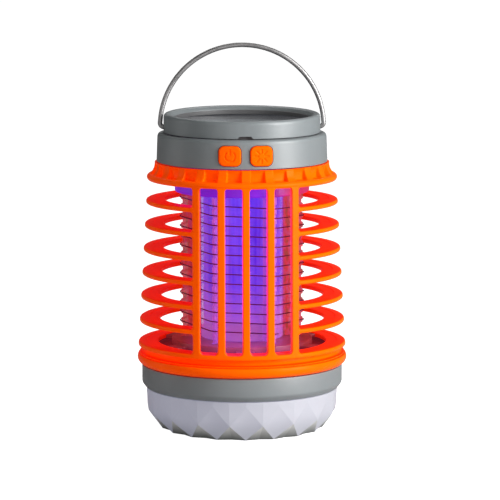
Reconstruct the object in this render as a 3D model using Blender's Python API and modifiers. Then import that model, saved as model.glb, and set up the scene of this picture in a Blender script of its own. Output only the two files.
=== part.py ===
"""Lantern-type electric bug zapper: a faceted camp lamp in the base, a caged high-voltage grid
round a violet light tube, and a top housing with two keys, a solar panel and a wire bail.

Metres, +Z up. The origin is the centre of the flat underside; the two keys face -Y.
"""

from math import asin, cos, pi, radians, sin, sqrt

import bmesh
import bpy
from mathutils import Matrix, Vector

MM = 0.001
GAP = 0.3 * MM                      # left between neighbouring pieces
MERGE = 0.01 * MM                   # points closer than this are one point
THROUGH = 8.0 * MM                  # length of a cutter that goes through a wall

# ---- driving dimensions -------------------------------------------------------------------
TURN_STEPS = 48                     # facets round a large turned piece
SMALL_STEPS = 36                    # facets round a hidden turned piece

# Camp lamp in the base
SHADE_FLUTES = 18                   # diamonds round the shade
SHADE_TIP_R = 36.0 * MM             # pointed feet of the diamonds, on the floor
SHADE_NOTCH_R = 34.2 * MM           # floor outline between two feet
SHADE_WAIST_R = 40.6 * MM
SHADE_WAIST_Z = 7.1 * MM
SHADE_WALL_R = 42.3 * MM
SHADE_SHOULDER_Z = 15.8 * MM        # top corners of the diamonds
SHADE_TOP_Z = 17.8 * MM
SHADE_SPIGOT_R = 40.6 * MM
SHADE_SPIGOT_TOP_Z = 21.7 * MM
SHADE_INNER_R = 39.0 * MM
SHADE_FLOOR = 1.8 * MM

BASE_RING_R = 44.3 * MM
BASE_RING_TOP_Z = 28.3 * MM
BASE_RING_CHAMFER_Z = 20.3 * MM
BASE_RING_FOOT_R = 42.6 * MM
BASE_RING_FOOT_Z = 18.1 * MM
BASE_RING_BORE_R = 40.9 * MM
BOARD_SHELF_Z = 23.9 * MM
BOARD_SHELF_R = 37.0 * MM
BOARD_SHELF_T = 2.0 * MM

LAMP_BOARD_R = 40.4 * MM
LAMP_BOARD_Z = 22.0 * MM
BOARD_T = 1.6 * MM
LAMP_LED_COUNT = 6
LAMP_LED_RING_R = 24.0 * MM
LAMP_LED_SIZE = (3.5 * MM, 2.8 * MM, 1.2 * MM)

# Orange rim and tray of the base
RIM_R = 46.3 * MM
RIM_BEAD_Z = 31.5 * MM
RIM_BEAD_RADIUS = 2.9 * MM
RIM_BOTTOM_Z = 28.6 * MM
RIM_TOP_Z = 36.3 * MM
RIM_NECK_R = 43.0 * MM
RIM_FLARE_RADIUS = 2.6 * MM
RIM_BORE_R = 41.2 * MM
RIM_LEDGE_R = 39.6 * MM
RIM_LEDGE_Z = 32.3 * MM
TRAY_R = 40.9 * MM
TRAY_FLOOR_Z = 32.6 * MM
TRAY_T = 1.6 * MM
TRAY_LIP_Z = 36.0 * MM
TRAY_HOLE_R = 6.0 * MM
CONTACT_X = 12.0 * MM
CONTACT_R = 1.2 * MM
CONTACT_HOLE_R = 1.8 * MM

# Cage
CROWN_TOP_Z = 118.0 * MM
CROWN_BOTTOM_Z = 110.1 * MM
CROWN_NECK_R = 38.4 * MM
CROWN_LIP_R = 41.9 * MM
CROWN_LIP_Z = 111.5 * MM
CROWN_LIP_FILLET = 1.3 * MM
FLARE_INSET = 0.6 * MM              # the flare ends this far inside the lip
FLARE_RISE = 1.6 * MM               # and this far above the lip's middle
CROWN_BORE_R = 36.0 * MM
CROWN_WEB_R = 30.2 * MM
CROWN_WEB_T = 1.4 * MM
CROWN_RIBS = 24
POCKET_WIDTH = 6.6 * MM
POCKET_R = 37.9 * MM
POCKET_REACH = 6.0 * MM             # from a pocket's back wall to outside the lip
POCKET_BOTTOM_Z = 112.9 * MM
POCKET_TOP_Z = 116.4 * MM

FIN_LEVELS = 6                      # open fins; the seventh level is the closed foot ring
FIN_PITCH = 10.5 * MM
FIN_TOP_Z = 100.7 * MM
FIN_T = 2.0 * MM
FIN_SOFT = 0.7 * MM                 # chamfer along a fin's outer edge
FIN_TOP_R = 42.25 * MM
FIN_GROWTH = 0.6 * MM               # added to the outer radius at each level down
FIN_TOP_BORE_R = 33.9 * MM
FIN_BORE_GROWTH = 0.5 * MM
FOOT_RING_BORE_R = 37.1 * MM

BAR_PITCH = 10.75 * MM
BARS_PER_SIDE = 5
BAR_WIDTH = 3.0 * MM
BAR_DEPTH = 4.0 * MM
GRILLE_BAND = 1.2 * MM
BAND_INSET = 0.6 * MM               # of a band behind the bars' outer and inner faces
BAND_RECESS = 0.01 * MM             # of a band behind the bars' ends

# Grid and light
GRID_SIDES = 6
GRID_POST_INNER_R = 18.3 * MM       # the posts are flat ribs, from the tube out to the wires
GRID_POST_OUTER_R = 26.9 * MM
GRID_POST_T = 1.6 * MM
GRID_WIRE_RING_R = 27.6 * MM
GRID_WIRE_R = 0.4 * MM
GRID_WIRE_PITCH = 4.23 * MM         # between neighbouring wires, one from each electrode
GRID_WIRE_TOP_Z = 102.5 * MM
GRID_WIRE_START = -90.0             # degrees; the wires begin at the left post
GRID_TURNS = (7.0, 6.5)             # of the first and the second electrode
GRID_WIRE_EASE = 2.5                # degrees either side of a post, where the wire turns
GRID_BASE_R = 31.0 * MM
GRID_BASE_Z = 37.0 * MM
GRID_BASE_TOP_Z = 40.0 * MM
GRID_TAB_WIDTH = 8.0 * MM
GRID_TAB_T = 1.4 * MM
GRID_TAB_ROOT = 3.0 * MM            # length of a tab inside the disc
GRID_TAB_END_GAP = 0.6 * MM
GRID_TAB_LIFT = 0.05 * MM           # of the tabs above the disc's underside
CEILING_R = 29.6 * MM
CEILING_Z = 105.0 * MM
CEILING_TOP_Z = 111.4 * MM
CEILING_T = 1.8 * MM
TUBE_R = 18.0 * MM
TUBE_WALL = 1.0 * MM
UV_BOARD_X = 1.5 * MM
UV_BOARD_WIDTH = 12.5 * MM
UV_GUIDE_WIDTH = 33.2 * MM          # clear sheet behind the board that spreads its light
UV_GUIDE_T = 0.8 * MM
UV_LED_COUNT = 4
UV_LED_SIZE = (3.5 * MM, 1.0 * MM, 3.5 * MM)
UV_LED_SINK = 0.1 * MM              # of a diode into the board
UV_SOCKET_SIZE = (14.5 * MM, 7.0 * MM, 5.0 * MM)

# Top housing, keys and bezel
CUT_INNER_Y = 30.0 * MM             # openings in the housing wall are cut between these depths
CUT_OUTER_Y = 42.0 * MM
HOUSING_BOTTOM_R = 37.6 * MM
HOUSING_TOP_R = 37.15 * MM
HOUSING_BOTTOM_Z = 118.3 * MM
HOUSING_TOP_Z = 130.8 * MM
HOUSING_SHOULDER = 1.8 * MM
HOUSING_WALL = 2.2 * MM
HOUSING_LEDGE_R = 34.0 * MM
HOUSING_LEDGE_T = 1.2 * MM
HOUSING_DRAFT = 0.2 * MM            # taper of the bore over its height
KEY_X = 6.8 * MM
KEY_Z = 124.05 * MM
KEY_SIZE = (9.6 * MM, 8.6 * MM)
KEY_CORNER = 2.5 * MM
KEY_FACE_R = 38.4 * MM
KEY_BACK_Y = -35.2 * MM
SWITCH_SIZE = (6.0 * MM, 3.2 * MM, 6.0 * MM)
SWITCH_FRONT_Y = -33.5 * MM
PLUNGER_R = 1.7 * MM
PLUNGER_DEPTH = 0.9 * MM
SWITCH_BORE_DEPTH = 2.0 * MM
SWITCH_BOARD_SIZE = (26.0 * MM, 1.3 * MM, 9.0 * MM)

BEZEL_R = 34.45 * MM
BEZEL_BOTTOM_Z = 131.1 * MM
BEZEL_TOP_Z = 139.8 * MM
BEZEL_BORE_R = 32.6 * MM
BEZEL_LIP_R = 30.0 * MM
BEZEL_LIP_Z = 136.3 * MM            # underside of the lip that holds the panel
BEZEL_LIP_TOP_Z = 138.2 * MM        # the top slopes down to here at the lip
BEZEL_FILLET = 1.8 * MM
NOTCH_WIDE = 6.7 * MM
NOTCH_NARROW = 5.1 * MM
NOTCH_HEIGHT = 1.1 * MM
PANEL_R = 32.2 * MM
PANEL_Z = 134.6 * MM
PANEL_T = 1.4 * MM

BAIL_PIVOT_Z = 133.2 * MM
BAIL_R = 36.0 * MM
BAIL_WIRE_R = 1.05 * MM
BAIL_END_X = 31.4 * MM
BAIL_BEND = 1.6 * MM
BAIL_STEPS = 32

# Electronics in the top housing
CELL_R = 9.1 * MM
CELL_LENGTH = 65.0 * MM
CELL_Z = 121.1 * MM
MAIN_BOARD_SIZE = (34.0 * MM, 17.0 * MM, BOARD_T)
MAIN_BOARD_Y = 20.0 * MM
MAIN_BOARD_Z = 118.6 * MM
TRANSFORMER_SIZE = (12.0 * MM, 11.0 * MM, 9.0 * MM)
TRANSFORMER_X = -9.0 * MM
TALL_PARTS_Y = 18.0 * MM            # of the transformer and the capacitor
CAPACITOR_R = 4.0 * MM
CAPACITOR_HEIGHT = 9.0 * MM
CAPACITOR_X = 10.0 * MM
PORT_SIZE = (8.6 * MM, 7.0 * MM, 3.2 * MM)
PORT_Z = 122.2 * MM
PORT_FACE_Y = 35.6 * MM
PORT_HOLE = (9.6 * MM, 4.2 * MM)
PORT_HOLE_CORNER = 1.5 * MM
PORT_WALL = 0.5 * MM
COVER_SIZE = (12.4 * MM, 1.2 * MM, 6.8 * MM)
COVER_CORNER = 1.5 * MM
COVER_FACE_Y = 37.8 * MM

ORANGE = (1.0, 0.23, 0.02)
GREY = (0.42, 0.45, 0.46)
MILKY = (0.86, 0.86, 0.93)
VIOLET = (0.42, 0.22, 0.95)

SCENE_COLLECTION = "bug_zapper"
CUTTER_COLLECTION = "cutters"


# ---- helpers ------------------------------------------------------------------------------
def clear_scene():
    for old in list(bpy.data.objects):
        bpy.data.objects.remove(old, do_unlink=True)
    for name in (SCENE_COLLECTION, CUTTER_COLLECTION):
        if name not in bpy.data.collections:
            bpy.context.scene.collection.children.link(bpy.data.collections.new(name))


def material(name, colour, roughness, metallic=0.0, alpha=1.0):
    found = bpy.data.materials.get(name)
    if found:
        return found
    made = bpy.data.materials.new(name)
    made.use_nodes = True
    shader = made.node_tree.nodes["Principled BSDF"]
    shader.inputs["Base Color"].default_value = (*colour, 1.0)
    shader.inputs["Roughness"].default_value = roughness
    shader.inputs["Metallic"].default_value = metallic
    shader.inputs["Alpha"].default_value = alpha
    made.diffuse_color = (*colour, alpha)
    return made


def add_object(name, data, finish=None, cutter=False):
    obj = bpy.data.objects.new(name, data)
    home = CUTTER_COLLECTION if cutter else SCENE_COLLECTION
    bpy.data.collections[home].objects.link(obj)
    if cutter:
        obj.hide_render = True
        obj.display_type = "WIRE"
    elif finish:
        data.materials.append(finish)
    return obj


def mesh_object(name, bm, finish=None, cutter=False, smooth=False):
    bmesh.ops.recalc_face_normals(bm, faces=bm.faces)
    mesh = bpy.data.meshes.new(name)
    bm.to_mesh(mesh)
    bm.free()
    if smooth:
        mesh.shade_smooth()
        mesh.set_sharp_from_angle(angle=radians(35))
    return add_object(name, mesh, finish, cutter)


def box_mesh(size, centre):
    bm = bmesh.new()
    bmesh.ops.create_cube(bm, size=1.0)
    bmesh.ops.scale(bm, vec=size, verts=bm.verts)
    bmesh.ops.translate(bm, vec=centre, verts=bm.verts)
    return bm


def box(name, size, centre, finish=None, cutter=False):
    return mesh_object(name, box_mesh(size, centre), finish, cutter)


def cylinder_mesh(radius, length, centre, axis="Z", sides=24):
    bm = bmesh.new()
    bmesh.ops.create_cone(bm, cap_ends=True, segments=sides, radius1=radius, radius2=radius,
                          depth=length)
    turns = {"X": Matrix.Rotation(pi / 2, 3, "Y"), "Y": Matrix.Rotation(pi / 2, 3, "X"),
             "Z": Matrix.Identity(3)}
    bmesh.ops.rotate(bm, matrix=turns[axis], verts=bm.verts)
    bmesh.ops.translate(bm, vec=centre, verts=bm.verts)
    return bm


def cylinder(name, radius, length, centre, finish=None, axis="Z", sides=24, cutter=False):
    bm = cylinder_mesh(radius, length, centre, axis, sides)
    return mesh_object(name, bm, finish, cutter, smooth=True)


def turned(name, profile, finish, steps=TURN_STEPS):
    """A closed (radius, height) outline, listed down its outer side, turned round the Z axis."""
    mesh = bpy.data.meshes.new(name)
    points = [(r, 0.0, z) for r, z in profile]
    edges = [(i, (i + 1) % len(points)) for i in range(len(points))]
    mesh.from_pydata(points, edges, [])
    obj = add_object(name, mesh, finish)
    screw = obj.modifiers.new("turn", "SCREW")
    screw.axis = "Z"
    screw.angle = 2 * pi
    screw.steps = screw.render_steps = steps
    screw.use_merge_vertices = True
    screw.merge_threshold = MERGE
    screw.use_smooth_shade = True
    return obj


def cut(obj, cutter, operation="DIFFERENCE"):
    step = obj.modifiers.new(cutter.name, "BOOLEAN")
    step.operation = operation
    step.solver = "EXACT"
    step.object = cutter


def arc(centre, radius, start, end, steps):
    """Points (radius, height) along an arc, angles in degrees from +radius towards +height."""
    cr, cz = centre
    angles = [radians(start + (end - start) * i / steps) for i in range(steps + 1)]
    return [(cr + radius * cos(a), cz + radius * sin(a)) for a in angles]


def cage_radius(z):
    """Outer radius of the cage, which widens from the crown to the foot ring."""
    return FIN_TOP_R + FIN_GROWTH * (FIN_TOP_Z - z) / FIN_PITCH


def on_circle(radius, degrees, z=0.0):
    """A point on a circle, 0 degrees at the front (-Y), positive towards +X."""
    a = radians(degrees)
    return Vector((radius * sin(a), -radius * cos(a), z))


# ---- finishes -----------------------------------------------------------------------------
def finishes():
    return {
        "orange": material("orange_plastic", ORANGE, 0.32),
        "grey": material("grey_plastic", GREY, 0.55),
        "milky": material("milky_plastic", MILKY, 0.35, alpha=0.85),
        "violet": material("violet_tube", VIOLET, 0.15, alpha=0.5),
        "steel": material("stainless_steel", (0.62, 0.62, 0.63), 0.22, metallic=1.0),
        "panel": material("solar_glass", (0.03, 0.03, 0.04), 0.12),
        "board": material("circuit_board", (0.05, 0.22, 0.10), 0.5),
        "led": material("led_resin", (0.95, 0.92, 0.75), 0.3),
        "brass": material("contact_brass", (0.75, 0.58, 0.28), 0.3, metallic=1.0),
        "black": material("black_plastic", (0.03, 0.03, 0.03), 0.5),
        "cell": material("cell_wrap", (0.05, 0.20, 0.55), 0.35),
        "rubber": material("grey_rubber", (0.30, 0.32, 0.33), 0.8),
        "plum": material("grid_plastic", (0.32, 0.10, 0.16), 0.5),
    }


# ---- base: camp lamp, grey ring, orange rim, tray ------------------------------------------
def lamp_shade(finish):
    """Cup with a belt of diamonds, whose pointed feet stand on the floor."""
    bm = bmesh.new()

    def ring(radius, z, offset, count=SHADE_FLUTES):
        turn = 360 / count
        return [bm.verts.new(on_circle(radius, (i + offset) * turn, z)) for i in range(count)]

    spigot = ring(SHADE_SPIGOT_R, SHADE_SPIGOT_TOP_Z, 0, 2 * SHADE_FLUTES)
    root = ring(SHADE_SPIGOT_R, SHADE_TOP_Z, 0, 2 * SHADE_FLUTES)
    rim = ring(SHADE_WALL_R, SHADE_TOP_Z, 0, 2 * SHADE_FLUTES)
    shoulder = ring(SHADE_WALL_R, SHADE_SHOULDER_Z, 0, 2 * SHADE_FLUTES)
    waist = ring(SHADE_WAIST_R, SHADE_WAIST_Z, 0.5)
    tips = ring(SHADE_TIP_R, 0.0, 0)
    notches = ring(SHADE_NOTCH_R, 0.0, 0.5)
    top = bm.verts.new((0, 0, SHADE_SPIGOT_TOP_Z))
    bottom = bm.verts.new((0, 0, 0))
    for upper, lower in ((spigot, root), (root, rim), (rim, shoulder)):
        for i in range(2 * SHADE_FLUTES):
            j = (i + 1) % (2 * SHADE_FLUTES)
            bm.faces.new((upper[i], upper[j], lower[j], lower[i]))
    for i in range(2 * SHADE_FLUTES):
        bm.faces.new((top, spigot[(i + 1) % (2 * SHADE_FLUTES)], spigot[i]))
    for i in range(SHADE_FLUTES):
        j = (i + 1) % SHADE_FLUTES
        ridge, valley, next_ridge = shoulder[2 * i], shoulder[2 * i + 1], shoulder[2 * j]
        bm.faces.new((ridge, valley, waist[i]))
        bm.faces.new((valley, next_ridge, waist[i]))
        bm.faces.new((ridge, waist[i], tips[i], waist[i - 1]))
        bm.faces.new((waist[i], notches[i], tips[i]))
        bm.faces.new((waist[i], tips[j], notches[i]))
        bm.faces.new((bottom, tips[i], notches[i]))
        bm.faces.new((bottom, notches[i], tips[j]))
    bmesh.ops.triangulate(bm, faces=[f for f in bm.faces if len(f.verts) > 3])
    shade = mesh_object("lamp_shade", bm, finish)
    hollow = bmesh.new()
    depth = 2 * (SHADE_SPIGOT_TOP_Z - SHADE_SHOULDER_Z)
    bmesh.ops.create_cone(hollow, cap_ends=True, segments=SMALL_STEPS, radius1=SHADE_INNER_R,
                          radius2=SHADE_INNER_R, depth=depth)
    bmesh.ops.translate(hollow, vec=(0, 0, SHADE_SPIGOT_TOP_Z), verts=hollow.verts)
    low_edge = [v for v in hollow.verts if v.co.z < SHADE_SPIGOT_TOP_Z]
    taper = (SHADE_NOTCH_R - SHADE_FLOOR) / SHADE_INNER_R
    floor_faces = [f for f in hollow.faces if all(v in low_edge for v in f.verts)]
    pulled = bmesh.ops.extrude_face_region(hollow, geom=floor_faces)
    low = [g for g in pulled["geom"] if isinstance(g, bmesh.types.BMVert)]
    bmesh.ops.delete(hollow, geom=floor_faces, context="FACES")
    for v in low:
        v.co = Vector((v.co.x * taper, v.co.y * taper, SHADE_FLOOR))
    cut(shade, mesh_object("shade_hollow", hollow, cutter=True))


def base_ring(finish):
    turned("base_ring", [
        (BASE_RING_R, BASE_RING_TOP_Z),
        (BASE_RING_R, BASE_RING_CHAMFER_Z),
        (BASE_RING_FOOT_R, BASE_RING_FOOT_Z),
        (BASE_RING_BORE_R, BASE_RING_FOOT_Z),
        (BASE_RING_BORE_R, BOARD_SHELF_Z),
        (BOARD_SHELF_R, BOARD_SHELF_Z),
        (BOARD_SHELF_R, BOARD_SHELF_Z + BOARD_SHELF_T),
        (RIM_BORE_R, BOARD_SHELF_Z + BOARD_SHELF_T),
        (RIM_BORE_R, BASE_RING_TOP_Z),
    ], finish)


def lamp_board(board, led):
    z = LAMP_BOARD_Z + BOARD_T / 2
    cylinder("lamp_board", LAMP_BOARD_R, BOARD_T, (0, 0, z), board, sides=SMALL_STEPS)
    led_z = LAMP_BOARD_Z - GAP - LAMP_LED_SIZE[2] / 2
    for i in range(LAMP_LED_COUNT):
        place = on_circle(LAMP_LED_RING_R, 360 / LAMP_LED_COUNT * (i + 0.5), led_z)
        obj = box(f"lamp_led_{i + 1}", LAMP_LED_SIZE, (0, 0, 0), led)
        obj.location = place
        obj.rotation_euler = (0, 0, radians(360 / LAMP_LED_COUNT * (i + 0.5)))


def base_rim(finish):
    bead = arc((RIM_R - RIM_BEAD_RADIUS, RIM_BEAD_Z), RIM_BEAD_RADIUS, 40, -80, 6)
    flare = arc((RIM_NECK_R + RIM_FLARE_RADIUS, RIM_TOP_Z), RIM_FLARE_RADIUS, 180, 255, 3)
    turned("base_rim", [
        *flare,
        *bead,
        (RIM_LEDGE_R, RIM_BOTTOM_Z),
        (RIM_LEDGE_R, RIM_LEDGE_Z),
        (RIM_BORE_R, RIM_LEDGE_Z),
        (RIM_BORE_R, RIM_TOP_Z),
    ], finish)


def bug_tray(finish):
    tray = turned("bug_tray", [
        (TRAY_R, TRAY_LIP_Z),
        (TRAY_R, TRAY_FLOOR_Z),
        (TRAY_HOLE_R, TRAY_FLOOR_Z),
        (TRAY_HOLE_R, TRAY_FLOOR_Z + TRAY_T),
        (TRAY_R - TRAY_T, TRAY_FLOOR_Z + TRAY_T),
        (TRAY_R - TRAY_T, TRAY_LIP_Z),
    ], finish, SMALL_STEPS)
    for side, x in (("left", -CONTACT_X), ("right", CONTACT_X)):
        hole = cylinder(f"tray_hole_{side}", CONTACT_HOLE_R, THROUGH, (x, 0, TRAY_FLOOR_Z),
                        sides=12, cutter=True)
        cut(tray, hole)


def contact_pins(finish):
    low = LAMP_BOARD_Z + BOARD_T + GAP
    high = GRID_BASE_Z - GAP
    for side, x in (("left", -CONTACT_X), ("right", CONTACT_X)):
        cylinder(f"contact_pin_{side}", CONTACT_R, high - low, (x, 0, (low + high) / 2), finish,
                 sides=12)


# ---- cage ---------------------------------------------------------------------------------
def cage_crown(finish):
    """Flared flange with pockets between its ribs."""
    flare_r = CROWN_LIP_R - CROWN_NECK_R - FLARE_INSET
    flare_z = CROWN_LIP_Z + FLARE_RISE + flare_r
    flare = arc((CROWN_NECK_R + flare_r, flare_z), flare_r, 180, 262, 4)
    lip = arc((CROWN_LIP_R - CROWN_LIP_FILLET, CROWN_LIP_Z), CROWN_LIP_FILLET, 50, -80, 4)
    crown = turned("cage_crown", [
        (CROWN_NECK_R, CROWN_TOP_Z),
        *flare,
        *lip,
        (CROWN_WEB_R, CROWN_BOTTOM_Z),
        (CROWN_WEB_R, CROWN_BOTTOM_Z + CROWN_WEB_T),
        (CROWN_BORE_R, CROWN_BOTTOM_Z + CROWN_WEB_T),
        (CROWN_BORE_R, CROWN_TOP_Z),
    ], finish, 2 * CROWN_RIBS)
    pockets = bmesh.new()
    size = (POCKET_WIDTH, POCKET_REACH, POCKET_TOP_Z - POCKET_BOTTOM_Z)
    for i in range(CROWN_RIBS):
        angle = 360 / CROWN_RIBS * (i + 0.5)
        made = bmesh.ops.create_cube(pockets, size=1.0)["verts"]
        bmesh.ops.scale(pockets, vec=size, verts=made)
        middle = (0, -(POCKET_R + POCKET_REACH / 2), (POCKET_TOP_Z + POCKET_BOTTOM_Z) / 2)
        bmesh.ops.translate(pockets, vec=middle, verts=made)
        bmesh.ops.rotate(pockets, matrix=Matrix.Rotation(radians(angle), 3, "Z"), verts=made)
    cut(crown, mesh_object("crown_pockets", pockets, cutter=True))


def fin_outline(outer, bore, z):
    half = FIN_T / 2
    return [
        (outer - FIN_SOFT, z + half),
        (outer, z + half - FIN_SOFT),
        (outer, z - half + FIN_SOFT),
        (outer - FIN_SOFT, z - half),
        (bore, z - half),
        (bore, z + half),
    ]


def cage_fins(finish):
    """C-shaped fins on both sides, between the front and the back grille."""
    reach = BAR_PITCH * (BARS_PER_SIDE - 1) / 2 + BAR_WIDTH / 2 + GAP
    for side, sign in (("left", -1), ("right", 1)):
        for level in range(FIN_LEVELS):
            z = FIN_TOP_Z - level * FIN_PITCH
            outline = fin_outline(FIN_TOP_R + level * FIN_GROWTH,
                                  FIN_TOP_BORE_R + level * FIN_BORE_GROWTH, z)
            bm = bmesh.new()
            corners = [bm.verts.new((r, 0, h)) for r, h in outline]
            edges = [bm.edges.new((corners[i - 1], corners[i])) for i in range(len(corners))]
            bmesh.ops.spin(bm, geom=corners + edges, cent=(0, 0, 0), axis=(0, 0, 1),
                           angle=2 * pi, steps=TURN_STEPS, use_merge=True)
            bmesh.ops.remove_doubles(bm, verts=bm.verts, dist=MERGE)
            everything = list(bm.verts) + list(bm.edges) + list(bm.faces)
            bmesh.ops.bisect_plane(bm, geom=everything, plane_co=(sign * reach, 0, 0),
                                   plane_no=(-sign, 0, 0), clear_outer=True)
            open_edges = [e for e in bm.edges if e.is_boundary]
            bmesh.ops.holes_fill(bm, edges=open_edges, sides=0)
            mesh_object(f"cage_fin_{side}_{level + 1}", bm, finish)


def cage_foot_ring(finish):
    z = FIN_TOP_Z - FIN_LEVELS * FIN_PITCH
    outer = FIN_TOP_R + FIN_LEVELS * FIN_GROWTH
    turned("cage_foot_ring", fin_outline(outer, FOOT_RING_BORE_R, z), finish)


def grille_bar(bm, x, low, high):
    """One upright bar, whose outer face leans with the cage."""
    made = bmesh.ops.create_cube(bm, size=1.0)["verts"]
    for v in made:
        z = high if v.co.z > 0 else low
        across = x + v.co.x * BAR_WIDTH
        outer = -sqrt(cage_radius(z) ** 2 - x ** 2)
        inward = 0.0 if v.co.y < 0 else BAR_DEPTH
        v.co = Vector((across, outer + inward, z))


def grille_band(low, high):
    """Curved strip that joins the bars at one end."""
    reach = BAR_PITCH * (BARS_PER_SIDE - 1) / 2
    skin = cage_radius((low + high) / 2)
    outer = skin - BAND_INSET
    inner = skin - BAR_DEPTH + BAND_INSET
    bm = bmesh.new()
    corners = [bm.verts.new((0, -r, z))
               for r, z in ((outer, high), (outer, low), (inner, low), (inner, high))]
    start = -asin(reach / outer)
    bmesh.ops.rotate(bm, matrix=Matrix.Rotation(start, 3, "Z"), verts=corners)
    face = bm.faces.new(corners)
    bmesh.ops.spin(bm, geom=[face] + list(face.edges) + corners, cent=(0, 0, 0),
                   axis=(0, 0, 1), angle=-2 * start, steps=12)
    return bm


def cage_grille(name, finish, turn):
    low = FIN_TOP_Z - FIN_LEVELS * FIN_PITCH + FIN_T / 2 + GAP
    high = CROWN_BOTTOM_Z - GAP
    half = (BARS_PER_SIDE - 1) / 2
    bars = bmesh.new()
    for i in range(BARS_PER_SIDE):
        grille_bar(bars, (i - half) * BAR_PITCH, low, high)
    grille = mesh_object(name, bars, finish)
    bands = {"top": (high - GRILLE_BAND, high - BAND_RECESS),
             "low": (low + BAND_RECESS, low + GRILLE_BAND)}
    for end, (bottom, top) in bands.items():
        band = grille_band(bottom, top)
        cut(grille, mesh_object(f"{name}_{end}_band", band, cutter=True), "UNION")
    grille.rotation_euler = (0, 0, turn)
    for step in grille.modifiers:
        step.object.rotation_euler = (0, 0, turn)


# ---- grid and light tube --------------------------------------------------------------------
def grid_base(finish):
    """Disc that carries the posts, with six tabs across the slot that the insects fall through."""
    middle = (GRID_BASE_Z + GRID_BASE_TOP_Z) / 2
    disc = cylinder("grid_base", GRID_BASE_R, GRID_BASE_TOP_Z - GRID_BASE_Z, (0, 0, middle),
                    finish, sides=TURN_STEPS)
    tabs = bmesh.new()
    inner, outer = GRID_BASE_R - GRID_TAB_ROOT, FOOT_RING_BORE_R - GRID_TAB_END_GAP
    for i in range(GRID_SIDES):
        made = bmesh.ops.create_cube(tabs, size=1.0)["verts"]
        bmesh.ops.scale(tabs, vec=(GRID_TAB_WIDTH, outer - inner, GRID_TAB_T), verts=made)
        place = (0, -(outer + inner) / 2, GRID_BASE_Z + GRID_TAB_LIFT + GRID_TAB_T / 2)
        bmesh.ops.translate(tabs, vec=place, verts=made)
        turn = Matrix.Rotation(radians(360 / GRID_SIDES * i), 3, "Z")
        bmesh.ops.rotate(tabs, matrix=turn, verts=made)
    cut(disc, mesh_object("grid_base_tabs", tabs, cutter=True), "UNION")


def grid_ceiling(finish):
    turned("grid_ceiling", [
        (CEILING_R, CEILING_TOP_Z),
        (CEILING_R, CEILING_Z),
        (TRAY_HOLE_R, CEILING_Z),
        (TRAY_HOLE_R, CEILING_Z + CEILING_T),
        (CEILING_R - CEILING_T, CEILING_Z + CEILING_T),
        (CEILING_R - CEILING_T, CEILING_TOP_Z),
    ], finish, SMALL_STEPS)


def grid_posts(finish):
    """Upright ribs that carry the wires on their outer edges."""
    low, high = GRID_BASE_TOP_Z + GAP, CEILING_Z - GAP
    middle_r = (GRID_POST_INNER_R + GRID_POST_OUTER_R) / 2
    size = (GRID_POST_T, GRID_POST_OUTER_R - GRID_POST_INNER_R, high - low)
    for i in range(GRID_SIDES):
        angle = 360 / GRID_SIDES * (i + 0.5)
        post = box(f"grid_post_{i + 1}", size, (0, 0, 0), finish)
        post.location = on_circle(middle_r, angle, (low + high) / 2)
        post.rotation_euler = (0, 0, radians(angle))


def grid_wire(name, finish, start_z, turns):
    """One electrode: a wire wound down round the six posts, a step lower at each corner."""
    side = 360 / GRID_SIDES
    fall = 2 * GRID_WIRE_PITCH
    corners = round(GRID_SIDES * turns)
    angles = [GRID_WIRE_START + side * i + offset for i in range(corners)
              for offset in (-GRID_WIRE_EASE, GRID_WIRE_EASE)]
    points = [on_circle(GRID_WIRE_RING_R, a, start_z - fall * (a - angles[0]) / 360)
              for a in angles]
    curve = bpy.data.curves.new(name, "CURVE")
    curve.dimensions = "3D"
    curve.bevel_depth = GRID_WIRE_R
    curve.bevel_resolution = 1
    curve.use_fill_caps = True
    spline = curve.splines.new("POLY")
    spline.points.add(len(points) - 1)
    for point, co in zip(spline.points, points):
        point.co = (*co, 1.0)
    add_object(name, curve, finish)


def light_tube(finish):
    low, high = GRID_BASE_TOP_Z + GAP, CEILING_Z - GAP
    turned("light_tube", [
        (TUBE_R, high), (TUBE_R, low), (TUBE_R - TUBE_WALL, low), (TUBE_R - TUBE_WALL, high),
    ], finish, SMALL_STEPS)


def uv_led_board(finish, socket_finish):
    """Upright board in a light-guiding sheet, with diodes on both faces, and its foot socket."""
    socket_z = GRID_BASE_TOP_Z + GAP + UV_SOCKET_SIZE[2] / 2
    box("uv_board_socket", UV_SOCKET_SIZE, (UV_BOARD_X, 0, socket_z), socket_finish)
    low = GRID_BASE_TOP_Z + UV_SOCKET_SIZE[2] + 2 * GAP
    high = CEILING_Z - GAP
    size = (UV_BOARD_WIDTH, BOARD_T, high - low)
    board = box("uv_led_board", size, (UV_BOARD_X, 0, (low + high) / 2), finish)
    guide_size = (UV_GUIDE_WIDTH, UV_GUIDE_T, high - low - GAP)
    cut(board, box("uv_guide", guide_size, (0, 0, (low + high) / 2), cutter=True), "UNION")
    diodes = bmesh.new()
    for face in (-1, 1):
        for i in range(UV_LED_COUNT):
            made = bmesh.ops.create_cube(diodes, size=1.0)["verts"]
            bmesh.ops.scale(diodes, vec=UV_LED_SIZE, verts=made)
            y = face * (BOARD_T / 2 + UV_LED_SIZE[1] / 2 - UV_LED_SINK)
            z = low + (high - low) * (i + 0.5) / UV_LED_COUNT
            bmesh.ops.translate(diodes, vec=(UV_BOARD_X, y, z), verts=made)
    cut(board, mesh_object("uv_diodes", diodes, cutter=True), "UNION")


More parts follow.
